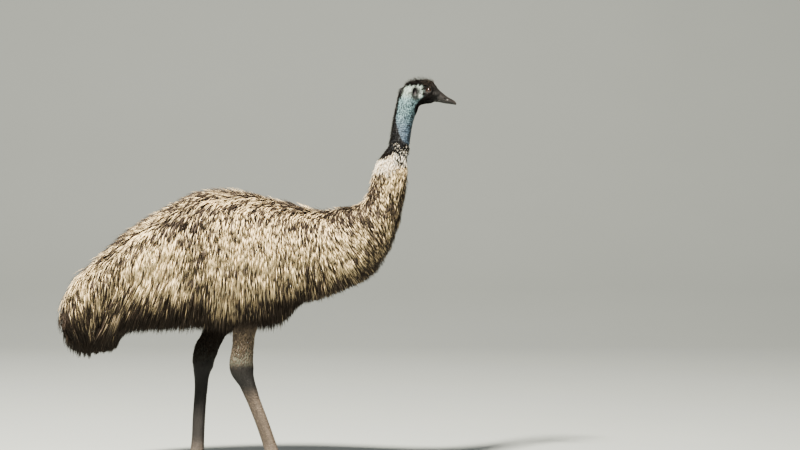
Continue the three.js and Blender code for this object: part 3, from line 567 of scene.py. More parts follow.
# Skin
def body_skin():
    places = np.linspace(0, place_of("collar") + 0.005, 190)
    place, angle = np.meshgrid(places, angles_around(96), indexing="ij")
    length = np.linalg.norm(np.diff(core.point(places[:2], np.zeros(2)), axis=0)) / places[1]
    closing = np.sqrt(np.maximum(0.0, 1 - np.maximum(0, 1 - place * length / TAIL_CLOSES) ** 2))
    rings = core.point(place, angle, 0.0, np.maximum(closing, 0.02))
    middle = core.frame(place)[0]
    over = np.clip((middle[..., 2:] - NECK_JOINT["height"]) / NECK_JOINT["overlap"], 0, 1)
    drawn = 1 - 0.04 * over * (place[..., None] > place_of("nape"))
    return lofted("skin", middle + (rings - middle) * drawn)


def eye_forms(whole, mirrored):
    """Carves the eye's socket and opening into the head and adds the swellings and lids round it."""
    x, z = EYE["at"]
    out, radius = EYE["out"], EYE["radius"]
    wide, high = EYE["opening"]
    for form in SWELLINGS.values():
        middle = (x + form["ahead"], form["out"], z + form["up"])
        whole = smooth_min(whole, ball(mirrored, middle, form["half"]), form["blend"])
    whole = smooth_max(whole, -ball(mirrored, (x, EYE["hollow_out"], z), EYE["hollow"]), 5)
    socket = ball(mirrored, (x, out, z), (radius + 1.3,) * 3)
    whole = smooth_min(whole, np.maximum(socket, 12 - mirrored[:, 1]), 2.5)
    lid_half = (wide + LIDS["wider"][0], high + LIDS["wider"][1])
    whole = smooth_min(whole, hoop(mirrored, (x, LIDS["out"], z), lid_half, LIDS["thick"]), 2)
    whole = np.maximum(whole, -ball(mirrored, (x, out, z), (radius + 0.25,) * 3))
    return smooth_max(whole, -ball(mirrored, (x, 37, z), (wide, 16, high)), 1)


def ear_forms(whole, mirrored):
    """Adds the ear's rim and carves its hole."""
    x, z = EAR["at"]
    wide, high = EAR["half"]
    rim = hoop(mirrored, (x, EAR["out"], z), (wide + EAR["rim"], high + EAR["rim"]), EAR["thick"])
    whole = smooth_min(whole, rim, 4)
    return smooth_max(whole, -ball(mirrored, (x, EAR["out"] + 3, z), (wide, 10, high)), 2)


def head_field(points):
    x, _, z = points.T
    neck = core.field(points, place_of("rise"), 1)
    skull = smooth_max(head_tube.field(points, 0, BILL_ROOT + 0.03), x - SKULL_END, 3)
    whole = smooth_min(neck, skull, 16)
    mirrored = points * [1, 0, 1] + np.abs(points) * [0, 1, 0]
    whole = ear_forms(eye_forms(whole, mirrored), mirrored)
    corner = ramp(x, MOUTH_LINE[0][0], MOUTH_LINE[1][0])
    slit = np.abs(z - at(MOUTH_LINE, x)) * MOUTH["slope"] - MOUTH["half"] * corner
    shallow = (x > MOUTH_LINE[0][0]) & (whole > -MOUTH["deep"])
    whole = smooth_max(whole, -np.where(shallow, slit, 9), 1.5)
    wrinkles = 0.35 * np.sin(z * 0.75 + 1.5 * np.sin(x * 0.11))
    whole = whole + wrinkles * ramp(-z, -1400, -1330)
    shrink = NECK_JOINT["shrink"] * np.clip((NECK_JOINT["height"] - z) / NECK_JOINT["overlap"], 0, 1)
    return np.maximum(whole + shrink, NECK_JOINT["cut"] - z)


def head_skin():
    return surface_of("head_skin", head_field, (430, -66, 1130), (700, 66, 1500), SKIN_CELL["head"])


def toe_tubes(side):
    """Each toe as a tube from the joint, with swollen pads, and its root and heading."""
    joint = on_spline(leg_tubes[side].spine, np.array(1.0))
    root = np.array([joint[0] - TOE["back"], joint[1], 0])
    for toe in TOES:
        heading = -SIDES[side] * math.radians(toe["splay"])
        forward = np.array([math.cos(heading), math.sin(heading), 0])
        t = np.linspace(0, 1, 9)
        swell = 1 + TOE["swell"] * np.cos(t * math.tau * TOE["pads"])
        middle = TOE["root"] + (TOE["tip"] - TOE["root"]) * np.sqrt(t)
        rise = (TOE["root_up"] + (TOE["tip_up"] - TOE["root_up"]) * t) * swell
        half = toe["half"] * (1 - TOE["taper"] * t) * swell
        rounds_from, rounds_over = TOE["rounds"]
        rounded = np.sqrt(1 - np.clip((t - rounds_from) / rounds_over, 0, 1) ** 2 * 0.6)
        up = np.array([0, 0, 1]) * (middle - (1 - rounded) * 2)[:, None]
        spine = root + forward * (t * toe["length"])[:, None] + up
        radii = np.stack([rise * rounded, middle * 1.25, half * rounded], axis=1)
        yield toe, Tube(spine, radii), root, forward


def scute_rise(place, angle, count, scute):
    over = (place * count) % 1
    edge = ramp(over, 0, 0.3) * (1 - ramp(over, 0.9, 1.0))
    limit = scute["half_angle"]
    return scute["raise_by"] * edge * (1 - ramp(np.abs(angle), limit * 0.8, limit))


def leg_field(side):
    tube = leg_tubes[side]
    toes = list(toe_tubes(side))
    joint = on_spline(tube.spine, np.array(1.0))

    def field(points):
        z = points[:, 2]
        found = tube.local(points, 0, 1)
        angle = np.arctan2(found[2], found[1])
        top = SHANK_SCUTE["top"]
        scutes = scute_rise((top - z) / SHANK_SCUTE["high"], angle, 1, SHANK_SCUTE)
        whole = tube.field(points, 0, 1, found) - scutes * ramp(-z, -top, -top + SHANK_SCUTE["fade"])
        groove = np.exp(-(((np.abs(angle) - TENDON_GROOVE["angle"]) / TENDON_GROOVE["width"]) ** 2))
        below = ramp(-z, -TENDON_GROOVE["top"], -TENDON_GROOVE["full"])
        whole = whole + below * TENDON_GROOVE["deep"] * groove
        ankle = ball(points, (joint[0] - ANKLE["back"], joint[1], ANKLE["height"]), ANKLE["half"])
        whole = smooth_min(whole, ankle, 12)
        low = z < 80
        for toe, toe_tube, _, _ in toes:
            found = toe_tube.local(points[low], 0, 1, 40)
            plates = scute_rise(found[0], np.arctan2(found[2], found[1]), toe["scutes"] + 1, TOE_SCUTE)
            reach = toe_tube.field(points[low], 0, 1, found) - plates * (found[0] > TOE_SCUTE["start"])
            whole[low] = smooth_min(whole[low], reach, 7)
        return np.maximum(np.maximum(whole, 0.15 - z), z - THIGH_TOP)

    return field


def leg_skin(side):
    middles = on_spline(leg_tubes[side].spine, np.linspace(0, 1, 50))
    low = np.array([middles[:, 0].min() - 105, middles[:, 1].min() - 75, -4])
    high = np.array([middles[:, 0].max() + 165, middles[:, 1].max() + 75, THIGH_TOP + 8])
    return surface_of("leg_skin", leg_field(side), low, high, SKIN_CELL["leg"])


def wing_limb(sign):
    """The small wing, mostly sunk in the breast's side."""
    u, v = np.meshgrid(np.linspace(0.02, math.pi - 0.02, 24), angles_around(32), indexing="ij")
    long, thick, deep = WING["half"]
    c, s = math.cos(WING["droop"]), math.sin(WING["droop"])
    a, b, d = long * np.cos(u), thick * np.sin(u) * np.cos(v), deep * np.sin(u) * np.sin(v)
    behind_bend = np.linspace(0, 1, 2001)[:900]
    place = np.interp(WING["at"][0] - a * c - d * s, on_spline(core.spine, behind_bend)[:, 0], behind_bend)
    down = (on_spline(core.spine, place)[..., 2] - WING["at"][1] + a * s - d * c) / WING["round_body"]
    return lofted("wing_limb", core.point(place, sign * (math.pi / 2 + down), b - WING["sunk"]))


# Feathers
def feather_triangles(rings):
    """Triangles of one three-sided feather: its root, its rings and its tip."""
    sides = ((0, 1), (1, 2), (2, 0))
    tris = [(0, 1, 2)]
    for a, b in ((ring * 3 + i, ring * 3 + j) for ring in range(rings - 1) for i, j in sides):
        tris += [(a, a + 3, b), (b, a + 3, b + 3)]
    base, tip = (rings - 1) * 3, rings * 3
    return np.array(tris + [(base + a, tip, base + b) for a, b in sides])


def feathers(name, lines, shape, look, patch, material):
    """Closed tapered feathers in pieces of limited size, from their middle lines, widths and values."""
    path, across, outward = lines
    half, thick = shape
    count, rings = half.shape
    ridge = path[:, :-1] + outward * (thick * 2 / 3)[..., None]
    under = path[:, :-1] - outward * (thick / 3)[..., None]
    side = across * half[..., None]
    body = np.stack([ridge, under + side, under - side], axis=2).reshape(count, rings * 3, 3)
    points = np.concatenate([body, path[:, -1:]], axis=1)
    tris = turned_out(points[:200] - points[:200, :1], feather_triangles(rings))
    along = np.append(np.repeat(np.linspace(0, 1, rings + 1)[:-1], 3), 1.0)
    sideways = np.append(np.tile([0.5, 1.0, 0.0], rings), 0.5)
    corners = points.shape[1]
    parts = math.ceil(count / (PIECE_TRIANGLES // len(tris)))
    pieces = []
    for part in range(parts):
        pick = slice(part * count // parts, (part + 1) * count // parts)
        number = pick.stop - pick.start
        faces = (np.arange(number)[:, None, None] * corners + tris).reshape(-1, 3)
        title = f"{name}_{part + 1}" if parts > 1 else name
        piece = new_mesh(title, points[pick].reshape(-1, 3), faces)
        shade = np.empty((number, corners, 3))
        shade[..., 0] = look[pick, None, 0]
        shade[..., 1] = along
        shade[..., 2] = look[pick, None, 1]
        add_attribute(piece, "feather", shade)
        place = 0.004 + 0.988 * patch[pick, None, :] + 0.003 * np.stack([along, sideways], axis=1)
        bake = piece.data.uv_layers.new(name="OFBake")
        bake.uv.foreach_set("vector", place.reshape(-1, 2)[faces.ravel()].astype(np.float32).ravel())
        piece.data.materials.append(material)
        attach(piece, "root")
        pieces.append(piece)
    return pieces


def unwrapped(place, angle):
    return np.clip(np.stack([place, angle / math.tau + 0.5], axis=1), 0, 1)


def noise(points, size, seed):
    """Smooth values between 0 and 1 that vary over about the given size."""
    draw = np.random.default_rng(seed)
    waves = unit(draw.normal(size=(7, 3))) * math.tau / size * draw.uniform(0.6, 1.5, (7, 1))
    return 0.5 + np.sin(points @ waves.T + draw.uniform(0, math.tau, 7)).sum(axis=1) / 9


def past_fold(points):
    """Millimetres in front of the fold between breast and thigh, and how strongly it shows there."""
    x, _, z = points.T
    (high_x, high_z), (low_x, low_z) = FOLD["upper"], FOLD["lower"]
    ahead = x - (high_x + (high_z - z) * (low_x - high_x) / (high_z - low_z))
    upper_end = ramp(-z, -high_z - FOLD["over"], -high_z + FOLD["within"])
    return ahead, upper_end * ramp(z, low_z - FOLD["below"], low_z)


def tail_pit(points):
    return soft_spots(points[:, 0], points[:, 2], TAIL_PIT)


def paleness(points):
    """How straw-coloured the coat is, from 0 for dark brown to 1, with painted light and painted shade worked
    in.
    """
    x, y, z = points.T
    # Darker towards the hem: partly darker feathers, partly painted shade under the body
    fringe = at(FRINGE, x)
    pale = ramp(z - at(HEM, x), fringe * 0.15, fringe * 1.75)
    # Paler spots, partly painted light
    pale_and_lit = np.clip(soft_spots(x, z, PALE_AND_LIT_SPOTS), 0, 1)
    ahead, strength = past_fold(points)
    # Painted shade along the fold between breast and thigh
    fold = np.exp(-((ahead / FOLD["half"]) ** 2)) * strength
    on_back = (1 - ramp(np.abs(y), 30, 130)) * (1 - ramp(x, 300, 400)) * ramp(x, -640, -560)
    on_front = (1 - ramp(at(NECK_FRONT, z) - x, 4, 34)) * ramp(z, 860, 900) * (1 - ramp(z, 1115, 1145))
    dusky = soft_spots(x, z, DUSKY) + 0.7 * on_back + 1.1 * on_front
    uneven = noise(points, 80, 5) - 0.5
    pale = pale * (0.44 + 0.42 * pale_and_lit + 0.26 * uneven - 0.35 * dusky) - 0.16 * fold
    pale = pale + 0.08 * tail_pit(points)
    return np.clip(pale, 0.03 + 0.2 * ramp(x, 150, 260), 1)


def coat_direction(angle, lie):
    parting = 0.5 * np.clip(np.sin(angle) / 0.14, -1, 1)
    return unit(np.stack([lie, parting, -np.ones_like(lie)], axis=-1))


def turned(v, axis, angle):
    c, s = np.cos(angle)[..., None], np.sin(angle)[..., None]
    return v * c + np.cross(axis, v) * s + axis * dot(axis, v) * (1 - c)


def moved_along(place, angle, way, normal, step):
    """Place and angle on the skin one step further along a direction."""
    small = 1e-3
    per_place = (core.point(place + small, angle) - core.point(place - small, angle)) / (2 * small)
    per_angle = (core.point(place, angle + small) - core.point(place, angle - small)) / (2 * small)
    flat = unit(way - normal * dot(way, normal))
    aa, ab, bb = dot(per_place, per_place), dot(per_place, per_angle), dot(per_angle, per_angle)
    fa, fb = dot(per_place, flat), dot(per_angle, flat)
    det = np.maximum(aa * bb - ab * ab, 1e-6)
    return place + ((bb * fa - ab * fb) / det * step)[:, 0], angle + ((aa * fb - ab * fa) / det * step)[:, 0]


def coat_paths(place, angle, length, lift, turn):
    """Middle lines that follow the skin the way the coat falls, and hang free below its turn."""
    count, steps, sunk = len(place), FEATHER["steps"], FEATHER["sunk"]
    path = np.empty((count, steps + 1, 3))
    across = np.empty((count, steps, 3))
    outward = np.empty((count, steps, 3))
    hanging = np.zeros(count, bool)
    step = (length / steps)[:, None]
    point = side = None
    for i in range(steps + 1):
        normal = core.normal(place, angle)
        top = ramp(np.cos(angle), 0.55, 0.97) * (place > place_of("rump")) * (place < place_of("nape"))
        lie = body_value("lie", place) - 0.75 * top
        way = turned(coat_direction(angle, lie), normal, turn * i / steps)
        height = -sunk + (lift + sunk) * (i / steps) ** 0.7
        turned_under = np.interp(place, [place_of("rump"), place_of("hip")], [-0.16, -0.45])
        hanging |= (normal[:, 2] < turned_under) | (place < 0.004)
        free = hanging[:, None]
        drop = unit(way * np.array([1, 0.2, 1]))
        breast = ramp(-np.cos(angle), 0.25, 0.7) * ramp(place, place_of("shoulder"), place_of("crop"))
        drop = unit(drop - normal * breast[:, None] * np.maximum(dot(drop, normal) - 0.3, 0))
        way = np.where(free, drop, way)
        skin = core.point(place, angle, height)
        point = skin if point is None else np.where(free, point + way * step, skin)
        facing = np.where(free, normal * np.array([1, 1, 0]), normal)
        new_side = unit(np.cross(facing, way))
        side = new_side if side is None else np.where(free, side, new_side)
        path[:, i] = point
        if i < steps:
            across[:, i] = side
            outward[:, i] = np.where(free, unit(np.cross(way, side)), normal)
        next_place, next_angle = moved_along(place, angle, way, normal, step)
        place = np.where(hanging, place, next_place)
        angle = np.where(hanging, angle, next_angle)
    return path, across, outward


def coat_roots(draw, start, end):
    """Places and angles spread over the body by the number on a square decimetre there."""
    rows, around = 420, 120
    place_edges = np.linspace(start, end, rows + 1)
    angle_edges = np.linspace(-math.pi, math.pi, around + 1)
    middles = [(edges[1:] + edges[:-1]) / 2 for edges in (place_edges, angle_edges)]
    place, angle = np.meshgrid(*middles, indexing="ij")
    dp, da = place_edges[1] - place_edges[0], angle_edges[1] - angle_edges[0]
    length = core.point(place + dp / 2, angle) - core.point(place - dp / 2, angle)
    width = core.point(place, angle + da / 2) - core.point(place, angle - da / 2)
    area = np.linalg.norm(np.cross(length, width), axis=-1) / 1e4
    belly = 1 - 0.5 * ramp(np.abs(angle), 2.3, 2.9) * (place > 0.2) * (place < 0.33)
    pit = tail_pit(core.point(place, angle).reshape(-1, 3)).reshape(place.shape)
    number = draw.poisson(area * body_value("number", place) * belly * (1 + pit)).ravel()
    place = np.repeat(place.ravel(), number) + dp * (draw.random(number.sum()) - 0.5)
    angle = np.repeat(angle.ravel(), number) + da * (draw.random(number.sum()) - 0.5)
    order = np.argsort(place)
    return place[order], angle[order]


def lock_values(place, angle, root, draw):
    """Random values that the feathers of one lock share, and how far each lies off the lock's middle."""
    places = np.linspace(0, 1, 400)
    middles = on_spline(core.spine, places)
    gaps = np.append(0, np.linalg.norm(np.diff(middles, axis=0), axis=1))
    row_at = np.cumsum(gaps / (body_value("length", places) * LOCK["rows"]))
    row = np.interp(place, places, row_at) + 0.6 * np.sin(angle * 9) + 3.2 * (noise(root, 70, 12) - 0.5) + 4
    row_number = np.clip(row.astype(int), 0, int(row_at[-1]) + 8)
    centre = np.interp(row_number - 3.5, row_at, places)
    _, side = core.section(centre, np.zeros_like(centre))
    columns = np.maximum(6, np.round(side * 6.6 / (body_value("width", centre) * LOCK["across"])))
    column = (angle / math.tau + 0.5) * columns + 0.5 * (row_number % 2)
    number = (column.astype(int) % columns).astype(int)
    table = draw.random((row_number.max() + 1, number.max() + 1, 3))
    return table[row_number, number].T, column - np.floor(column) - 0.5


def coat_lift(place, angle, root, level):
    """How far the tips stand over the skin, by locks, and more in the tail's pit and at the fold."""
    coat = body_value("coat", place) * (1 - CORE)
    under = body_value("under", place) * (1 - CORE)
    above = np.where(np.cos(angle) > 0, coat * (1 + 0.2 * np.cos(angle)), np.minimum(coat * 1.3, under))
    ahead, strength = past_fold(root)
    swell = ramp(ahead, -6, 8) * (1 - ramp(ahead, 30, 90)) - (1 - ramp(-ahead, 5, 60)) * (ahead < 0)
    return above * (0.38 + 0.7 * level) + 4 * tail_pit(root) + 5 * strength * swell


def coat_tones(path, shared_tone, shared_level, draw):
    """Pale or dark for each feather: streaks that its lock mostly shares, then the neck's markings."""
    count = len(path)
    pale = paleness(0.4 * path[:, -2] + 0.6 * path[:, -1])
    streak = np.where(draw.random(count) < 0.3 + 0.42 * pale, shared_tone, draw.random(count))
    # Paler where the lock stands higher: painted light on raised locks
    light = 0.19 + 0.68 * pale**0.6 + (0.1 + 0.3 * pale) * (shared_level - 0.5)
    light = light + 0.08 * draw.normal(size=count)
    dark = (0.08 + 0.27 * pale) * (0.45 + draw.random(count))
    tone = np.clip(np.where(streak < 0.04 + 0.9 * pale, light, dark), 0.02, 0.83)
    return neck_markings(path[:, 2], tone, shared_tone, draw)


def neck_markings(points, tone, shared, draw):
    """White ruff behind, a band of black and white flecks before it, and dark hairs above."""
    x, _, z = points.T
    count = len(tone)
    white = 0.88 + 0.12 * draw.random(count)
    ruff = ramp(z, 1118, 1160) * (1 - ramp(x, 512, 530))
    tone = np.where(draw.random(count) < 0.85 * ruff, white, tone)
    flecked = np.where(0.3 * shared + 0.7 * draw.random(count) < 0.36, 0.97, 0.02)
    band = ramp(z, 1153, 1168) * ramp(x, 506, 520)
    tone = np.where(draw.random(count) < band, flecked, tone)
    top = ramp(z - 0.7 * np.maximum(x - 520, -40), 1208, 1226) * (x > 440)
    return np.where(draw.random(count) < top, 0.01 + 0.05 * draw.random(count), tone)


def body_coat(material):
    draw = np.random.default_rng(101)
    place, angle = coat_roots(draw, 0.0005, place_of("throat") + 0.01)
    count = len(place)
    root = core.point(place, angle)

    def vary(share):
        return 1 + share * (draw.random(count) * 2 - 1)

    (shared_tone, shared_level, shared_turn), off = lock_values(place, angle, root, draw)
    length = body_value("length", place) * vary(0.3)
    level = np.clip(shared_level + 0.16 * draw.normal(size=count) - 0.35 * off**2, 0, 1) ** 0.7
    stray = draw.random(count) < FEATHER["stray"]
    lift = coat_lift(place, angle, root, level) * np.where(stray, 1.4, 1)
    turn = 0.07 * draw.normal(size=count) + 0.26 * (shared_turn - 0.5) - 0.16 * off * np.sign(angle)
    # Feathers near the lower edge end at the hem
    room = np.maximum(FEATHER["shortest"], root[:, 2] - at(HEM, root[:, 0]) + 12)
    low = ramp(-core.normal(place, angle)[:, 2], -0.2, 0.5)
    length = np.where(low > 0.2, np.minimum(length * (1 + 0.4 * low), room * vary(0.12)), length)
    tip = coat_paths(place, angle, length, lift, turn)[0][:, -1]
    end = at(HEM, tip[:, 0]) + 34 * draw.random(count) ** 1.5 - 14 + 36 * (shared_level - 0.5)
    reach = np.clip((root[:, 2] - end) / np.maximum(root[:, 2] - tip[:, 2], 1), 0.25, 1)
    length = np.where(tip[:, 2] < end, length * reach, length)
    lines = coat_paths(place, angle, length, lift, turn)
    width = (body_value("width", place) * vary(0.35) * np.where(stray, 0.45, 1))[:, None]
    shape = width / 2 * np.array(FEATHER["half"]), width * 0.3 * np.array(FEATHER["thick"])
    tone = coat_tones(lines[0], shared_tone, shared_level, draw)
    look = np.stack([tone, draw.random(count)], axis=1)
    patch = unwrapped(place, angle)
    pieces = []
    for name, first, last in COAT_PIECES:
        pick = (place >= place_of(first)) & (place < place_of(last))
        lines_here, shape_here = [v[pick] for v in lines], [v[pick] for v in shape]
        pieces += feathers(name, lines_here, shape_here, look[pick], patch[pick], material)
    return pieces


def skin_samples(piece, draw, density, region):
    """Roots spread over a mesh by a density per square decimetre that depends on the place."""
    mesh = piece.data
    mesh.calc_loop_triangles()
    tris = np.empty(len(mesh.loop_triangles) * 3, np.int32)
    mesh.loop_triangles.foreach_get("vertices", tris)
    tris = tris.reshape(-1, 3)
    points, normals = points_of(piece), read_vertices(piece, "normal")
    middle = points[tris].mean(axis=1)
    keep = region(middle)
    tris, middle = tris[keep], middle[keep]
    a, b, c = points[tris[:, 0]], points[tris[:, 1]], points[tris[:, 2]]
    area = np.linalg.norm(np.cross(b - a, c - a), axis=1) / 2e4
    number = draw.poisson(area * density(middle))
    tris = np.repeat(tris, number, axis=0)
    u, v = draw.random((2, len(tris)))
    flip = u + v > 1
    u, v = np.where(flip, 1 - u, u), np.where(flip, 1 - v, v)
    weights = np.stack([1 - u - v, u, v], axis=1)[..., None]
    return (points[tris] * weights).sum(axis=1), unit((normals[tris] * weights).sum(axis=1))


def short_feathers(name, roots, normals, way, length, lift, width, look, patch, material):
    """Short feathers or hairs straight off a mesh, leaning along a direction and off the skin."""
    way = unit(way - normals * dot(way, normals))
    steps, sunk = HAIR["steps"], HAIR["sunk"]
    path = np.empty((len(roots), steps + 1, 3))
    for i in range(steps + 1):
        t = i / steps
        rise = -sunk + (lift + sunk) * t**0.8
        path[:, i] = roots + way * (length * t)[:, None] + normals * rise[:, None]
    across = np.repeat(unit(np.cross(normals, way))[:, None], steps, axis=1)
    outward = np.repeat(normals[:, None], steps, axis=1)
    width = width[:, None]
    shape = width / 2 * np.array(HAIR["half"]), width * 0.4 * np.array(HAIR["thick"])
    return feathers(name, (path, across, outward), shape, look, patch, material)


def in_face(points):
    """How far a place is in the dark feathered face, crown and throat, from 0 to 1."""
    x, _, z = points.T
    front = ramp(x + 3 * np.sin(z * 0.35), 625, 633)
    crown = ramp(z + 3 * np.sin(x * 0.4), 1469, 1476) * ramp(x, 562, 574)
    chin = ramp(z, 1390, 1402)
    edge = at(THROAT_EDGE, z)
    throat = ramp(x, edge - 5, edge + 5) * ramp(z, 1338, 1362)
    return np.clip(np.maximum(np.maximum(front, crown) * chin, throat), 0, 1)


def nape_line(points):
    """How far a place is in the dark line down the back of the neck, which widens to the whole neck below."""
    x, y, z = points.T
    behind = (at(NECK_AXIS, z) - x) / at(NECK_REACH, z)
    edge = at(NAPE_EDGE, z)
    strip = (1 - ramp(np.abs(y), 9, 15)) * (behind > 0.3)
    return np.maximum(ramp(behind, edge - 0.12, edge + 0.14), strip)


def head_density(points):
    thin_to_bill = 1 - 0.7 * ramp(points[:, 0], 662, 680)
    return 480 + 2200 * in_face(points) * thin_to_bill + 1400 * nape_line(points)


def head_hairs(skin, material):
    draw = np.random.default_rng(202)
    roots, normals = skin_samples(skin, draw, head_density, lambda p: (p[:, 2] > 1215) & (p[:, 0] < 681))
    x, _, z = roots.T
    near_eye = oval(x, z, EYE["at"], (11.8, 9.4)) < 1
    near_ear = oval(x, z, EAR["at"], (8, 13)) < 1
    near_lip = (x > 640) & (np.abs(z - at(MOUTH_LINE, x)) < 2.2)
    keep = ~(near_eye | near_ear | near_lip)
    roots, normals = roots[keep], normals[keep]
    x, y, z = roots.T
    count = len(roots)
    face = in_face(roots)
    crown = face * ramp(normals[:, 2], 0.35, 0.9)
    nape = nape_line(roots)
    behind = 1 - ramp(x, 575, 612)
    back = np.stack([-np.ones(count), np.zeros(count), -0.35 - 0.9 * (1 - face) - 1.2 * behind], axis=1)
    back += draw.normal(scale=0.16, size=(count, 3))
    bristle = draw.random(count) < 0.3 * crown
    strip = nape * (1 - ramp(np.abs(y), 9, 16))
    length = 8 + 2 * face + 5 * crown + 4 * nape * (1 - face) + 5 * bristle
    length *= draw.uniform(0.65, 1.35, count)
    length *= (1 - 0.5 * ramp(x, 652, 678)) * (1 - 0.35 * face * behind)
    lift = length * (0.14 + 0.3 * crown * draw.random(count) + 0.16 * draw.random(count) + 0.45 * bristle)
    lift = lift + 4.5 * strip * draw.random(count)
    width = (1.1 + 0.3 * face + 0.2 * bristle) * draw.uniform(0.8, 1.25, count)
    tone = 0.05 * draw.random(count) ** 2
    band = (1 - ramp(z, 1248, 1266)) * ramp(x, 505, 525)
    tone = np.where(draw.random(count) < 0.13 * band, 0.97, tone)
    # Brownish hairs over the eye: a painted highlight on the brow ridge
    brow = ramp(z, 1456, 1466) * ramp(x, 622, 640) * (1 - ramp(normals[:, 2], 0.75, 0.95))
    tone = np.where(draw.random(count) < 0.35 * brow, 0.06 + 0.16 * draw.random(count), tone)
    look = np.stack([tone, draw.random(count)], axis=1)
    patch = np.clip(np.stack([np.arctan2(y, x - 585) / math.tau + 0.5, (z - 1200) / 310], axis=1), 0, 1)
    return short_feathers("head_hairs", roots, normals, back, length, lift, width, look, patch, material)


def leg_feathers(skin, side, material):
    draw = np.random.default_rng(303 + SIDES[side])
    low, full, high_end = LEG_FEATHERS["low"], LEG_FEATHERS["full"], LEG_FEATHERS["high"]
    shin = sorted((z, x) for (x, z), *_ in LEGS[side])

    def on_leg(p):
        near = np.abs(p[:, 0] - at(shin, p[:, 2])) < LEG_FEATHERS["reach"]
        return (p[:, 2] > low) & (p[:, 2] < high_end) & (p[:, 1] * SIDES[side] > 0) & near

    def density(p):
        return LEG_FEATHERS["number"] * ramp(p[:, 2], low, full)

    roots, normals = skin_samples(skin, draw, density, on_leg)
    count = len(roots)
    z = roots[:, 2]
    high = ramp(z, 395, 600)
    down = np.stack([-0.25 * np.ones(count), np.zeros(count), -np.ones(count)], axis=1)
    down += draw.normal(scale=0.14, size=(count, 3))
    length = (8 + 26 * high) * draw.uniform(0.7, 1.3, count)
    lift = (0.8 + 5.5 * high) * draw.uniform(0.4, 1.4, count)
    width = (1.7 + 1.6 * high) * draw.uniform(0.7, 1.3, count)
    place, up, out, _ = leg_tubes[side].local(roots, 0, 1)
    angle = np.arctan2(out, up)
    # Paler from the hock up, darker at the thigh's top as painted shade under the coat; the far leg's
    # feathers darker still as painted shade
    lit = ramp(z + 10 * np.sin(angle * 2), 400, 436) * (1 - 0.75 * ramp(z, 560, 600))
    tone = (0.03 + LEG_PAINT_WITH_FAR_SHADE[side]["feathers"] * lit) * draw.uniform(0.6, 1.3, count)
    look = np.stack([np.clip(tone, 0.01, 1), draw.random(count)], axis=1)
    name = f"leg_feathers_{side}"
    patch = unwrapped(place, angle)
    return short_feathers(name, roots, normals, down, length, lift, width, look, patch, material)


# Materials
class Nodes:
    """A short way to write a material's nodes."""

    def __init__(self, name, **settings):
        self.material = bpy.data.materials.new(name)
        self.material.use_nodes = True
        self.tree = self.material.node_tree
        self.shader = self.tree.nodes["Principled BSDF"]
        for socket, value in settings.items():
            self.shader.inputs[socket.replace("_", " ")].default_value = value

    def add(self, kind, inputs=None, **settings):
        made = self.tree.nodes.new(kind)
        for key, value in settings.items():
            setattr(made, key, value)
        for socket, value in (inputs or {}).items():
            self.put(made, socket, value)
        return made

    def put(self, made, socket, value):
        if isinstance(value, bpy.types.NodeSocket):
            self.tree.links.new(value, made.inputs[socket])
        else:
            made.inputs[socket].default_value = value

    def attribute(self, name, output="Vector"):
        return self.add("ShaderNodeAttribute", attribute_name=name).outputs[output]

    def parts(self, vector):
        return self.add("ShaderNodeSeparateXYZ", {0: vector}).outputs

    def math(self, operation, a, b):
        return self.add("ShaderNodeMath", {0: a, 1: b}, operation=operation).outputs[0]

    def mix(self, share, a, b, blend="MIX"):
        made = self.add("ShaderNodeMix", {0: share, 6: a, 7: b}, data_type="RGBA", blend_type=blend)
        return made.outputs[2]

    def noise(self, scale, detail, vector, rough=0.55):
        inputs = {"Vector": vector, "Scale": scale, "Detail": detail, "Roughness": rough}
        return self.add("ShaderNodeTexNoise", inputs).outputs["Fac"]

    def ramp(self, value, low, high, a=0.0, b=1.0):
        inputs = {0: value, 1: low, 2: high, 3: a, 4: b}
        return self.add("ShaderNodeMapRange", inputs, interpolation_type="SMOOTHSTEP").outputs[0]

    def place(self):
        return self.add("ShaderNodeTexCoord").outputs["Object"]

    def bump(self, height, distance, strength, normal=None):
        inputs = {"Height": height, "Distance": distance, "Strength": strength}
        if normal is not None:
            inputs["Normal"] = normal
        return self.add("ShaderNodeBump", inputs).outputs["Normal"]

    def finish(self, **sockets):
        for socket, value in sockets.items():
            self.put(self.shader, socket.replace("_", " "), value)
        return self.material


def feather_material():
    """Each feather pale or dark by its own tone, darker at its root and tip, with fine barbs."""
    nodes = Nodes("feather", Roughness=0.68)
    tone, along, tint = nodes.parts(nodes.attribute("feather"))
    barbs = nodes.noise(900.0, 2.0, nodes.place(), 0.6)
    uneven = nodes.ramp(tone, 0.0, 0.35, 0.03, 0.27)
    uneven = nodes.math("MULTIPLY", nodes.math("SUBTRACT", barbs, 0.5), uneven)
    tone = nodes.math("ADD", tone, uneven)
    colour = nodes.mix(nodes.ramp(tone, 0.0, 0.14), BLACK, DARK)
    colour = nodes.mix(nodes.ramp(tone, 0.1, 0.4), colour, BROWN)
    colour = nodes.mix(nodes.ramp(tone, 0.35, 0.8), colour, STRAW)
    colour = nodes.mix(nodes.ramp(tone, 0.84, 1.0), colour, WHITE)
    colour = nodes.mix(nodes.math("MULTIPLY", tint, 0.4), colour, RUSTY, "MULTIPLY")
    tip = nodes.ramp(along, 0.8, 0.97, 1.0, nodes.ramp(tint, 0.25, 0.6, 0.7, 0.05))
    ends = nodes.math("MULTIPLY", nodes.ramp(along, 0.4, 0.72), tip)
    hidden = nodes.ramp(ends, 0.0, 1.0, nodes.ramp(tone, 0.84, 0.95, 0.85, 0.25), 0.0)
    return nodes.finish(
        Base_Color=nodes.mix(hidden, colour, nodes.mix(nodes.ramp(tone, 0.0, 0.3), BLACK, ROOT)),
        Specular_IOR_Level=nodes.ramp(tone, 0.0, 0.4, 0.06, 0.3),
        Normal=nodes.bump(barbs, 0.0006, 0.5),
    )


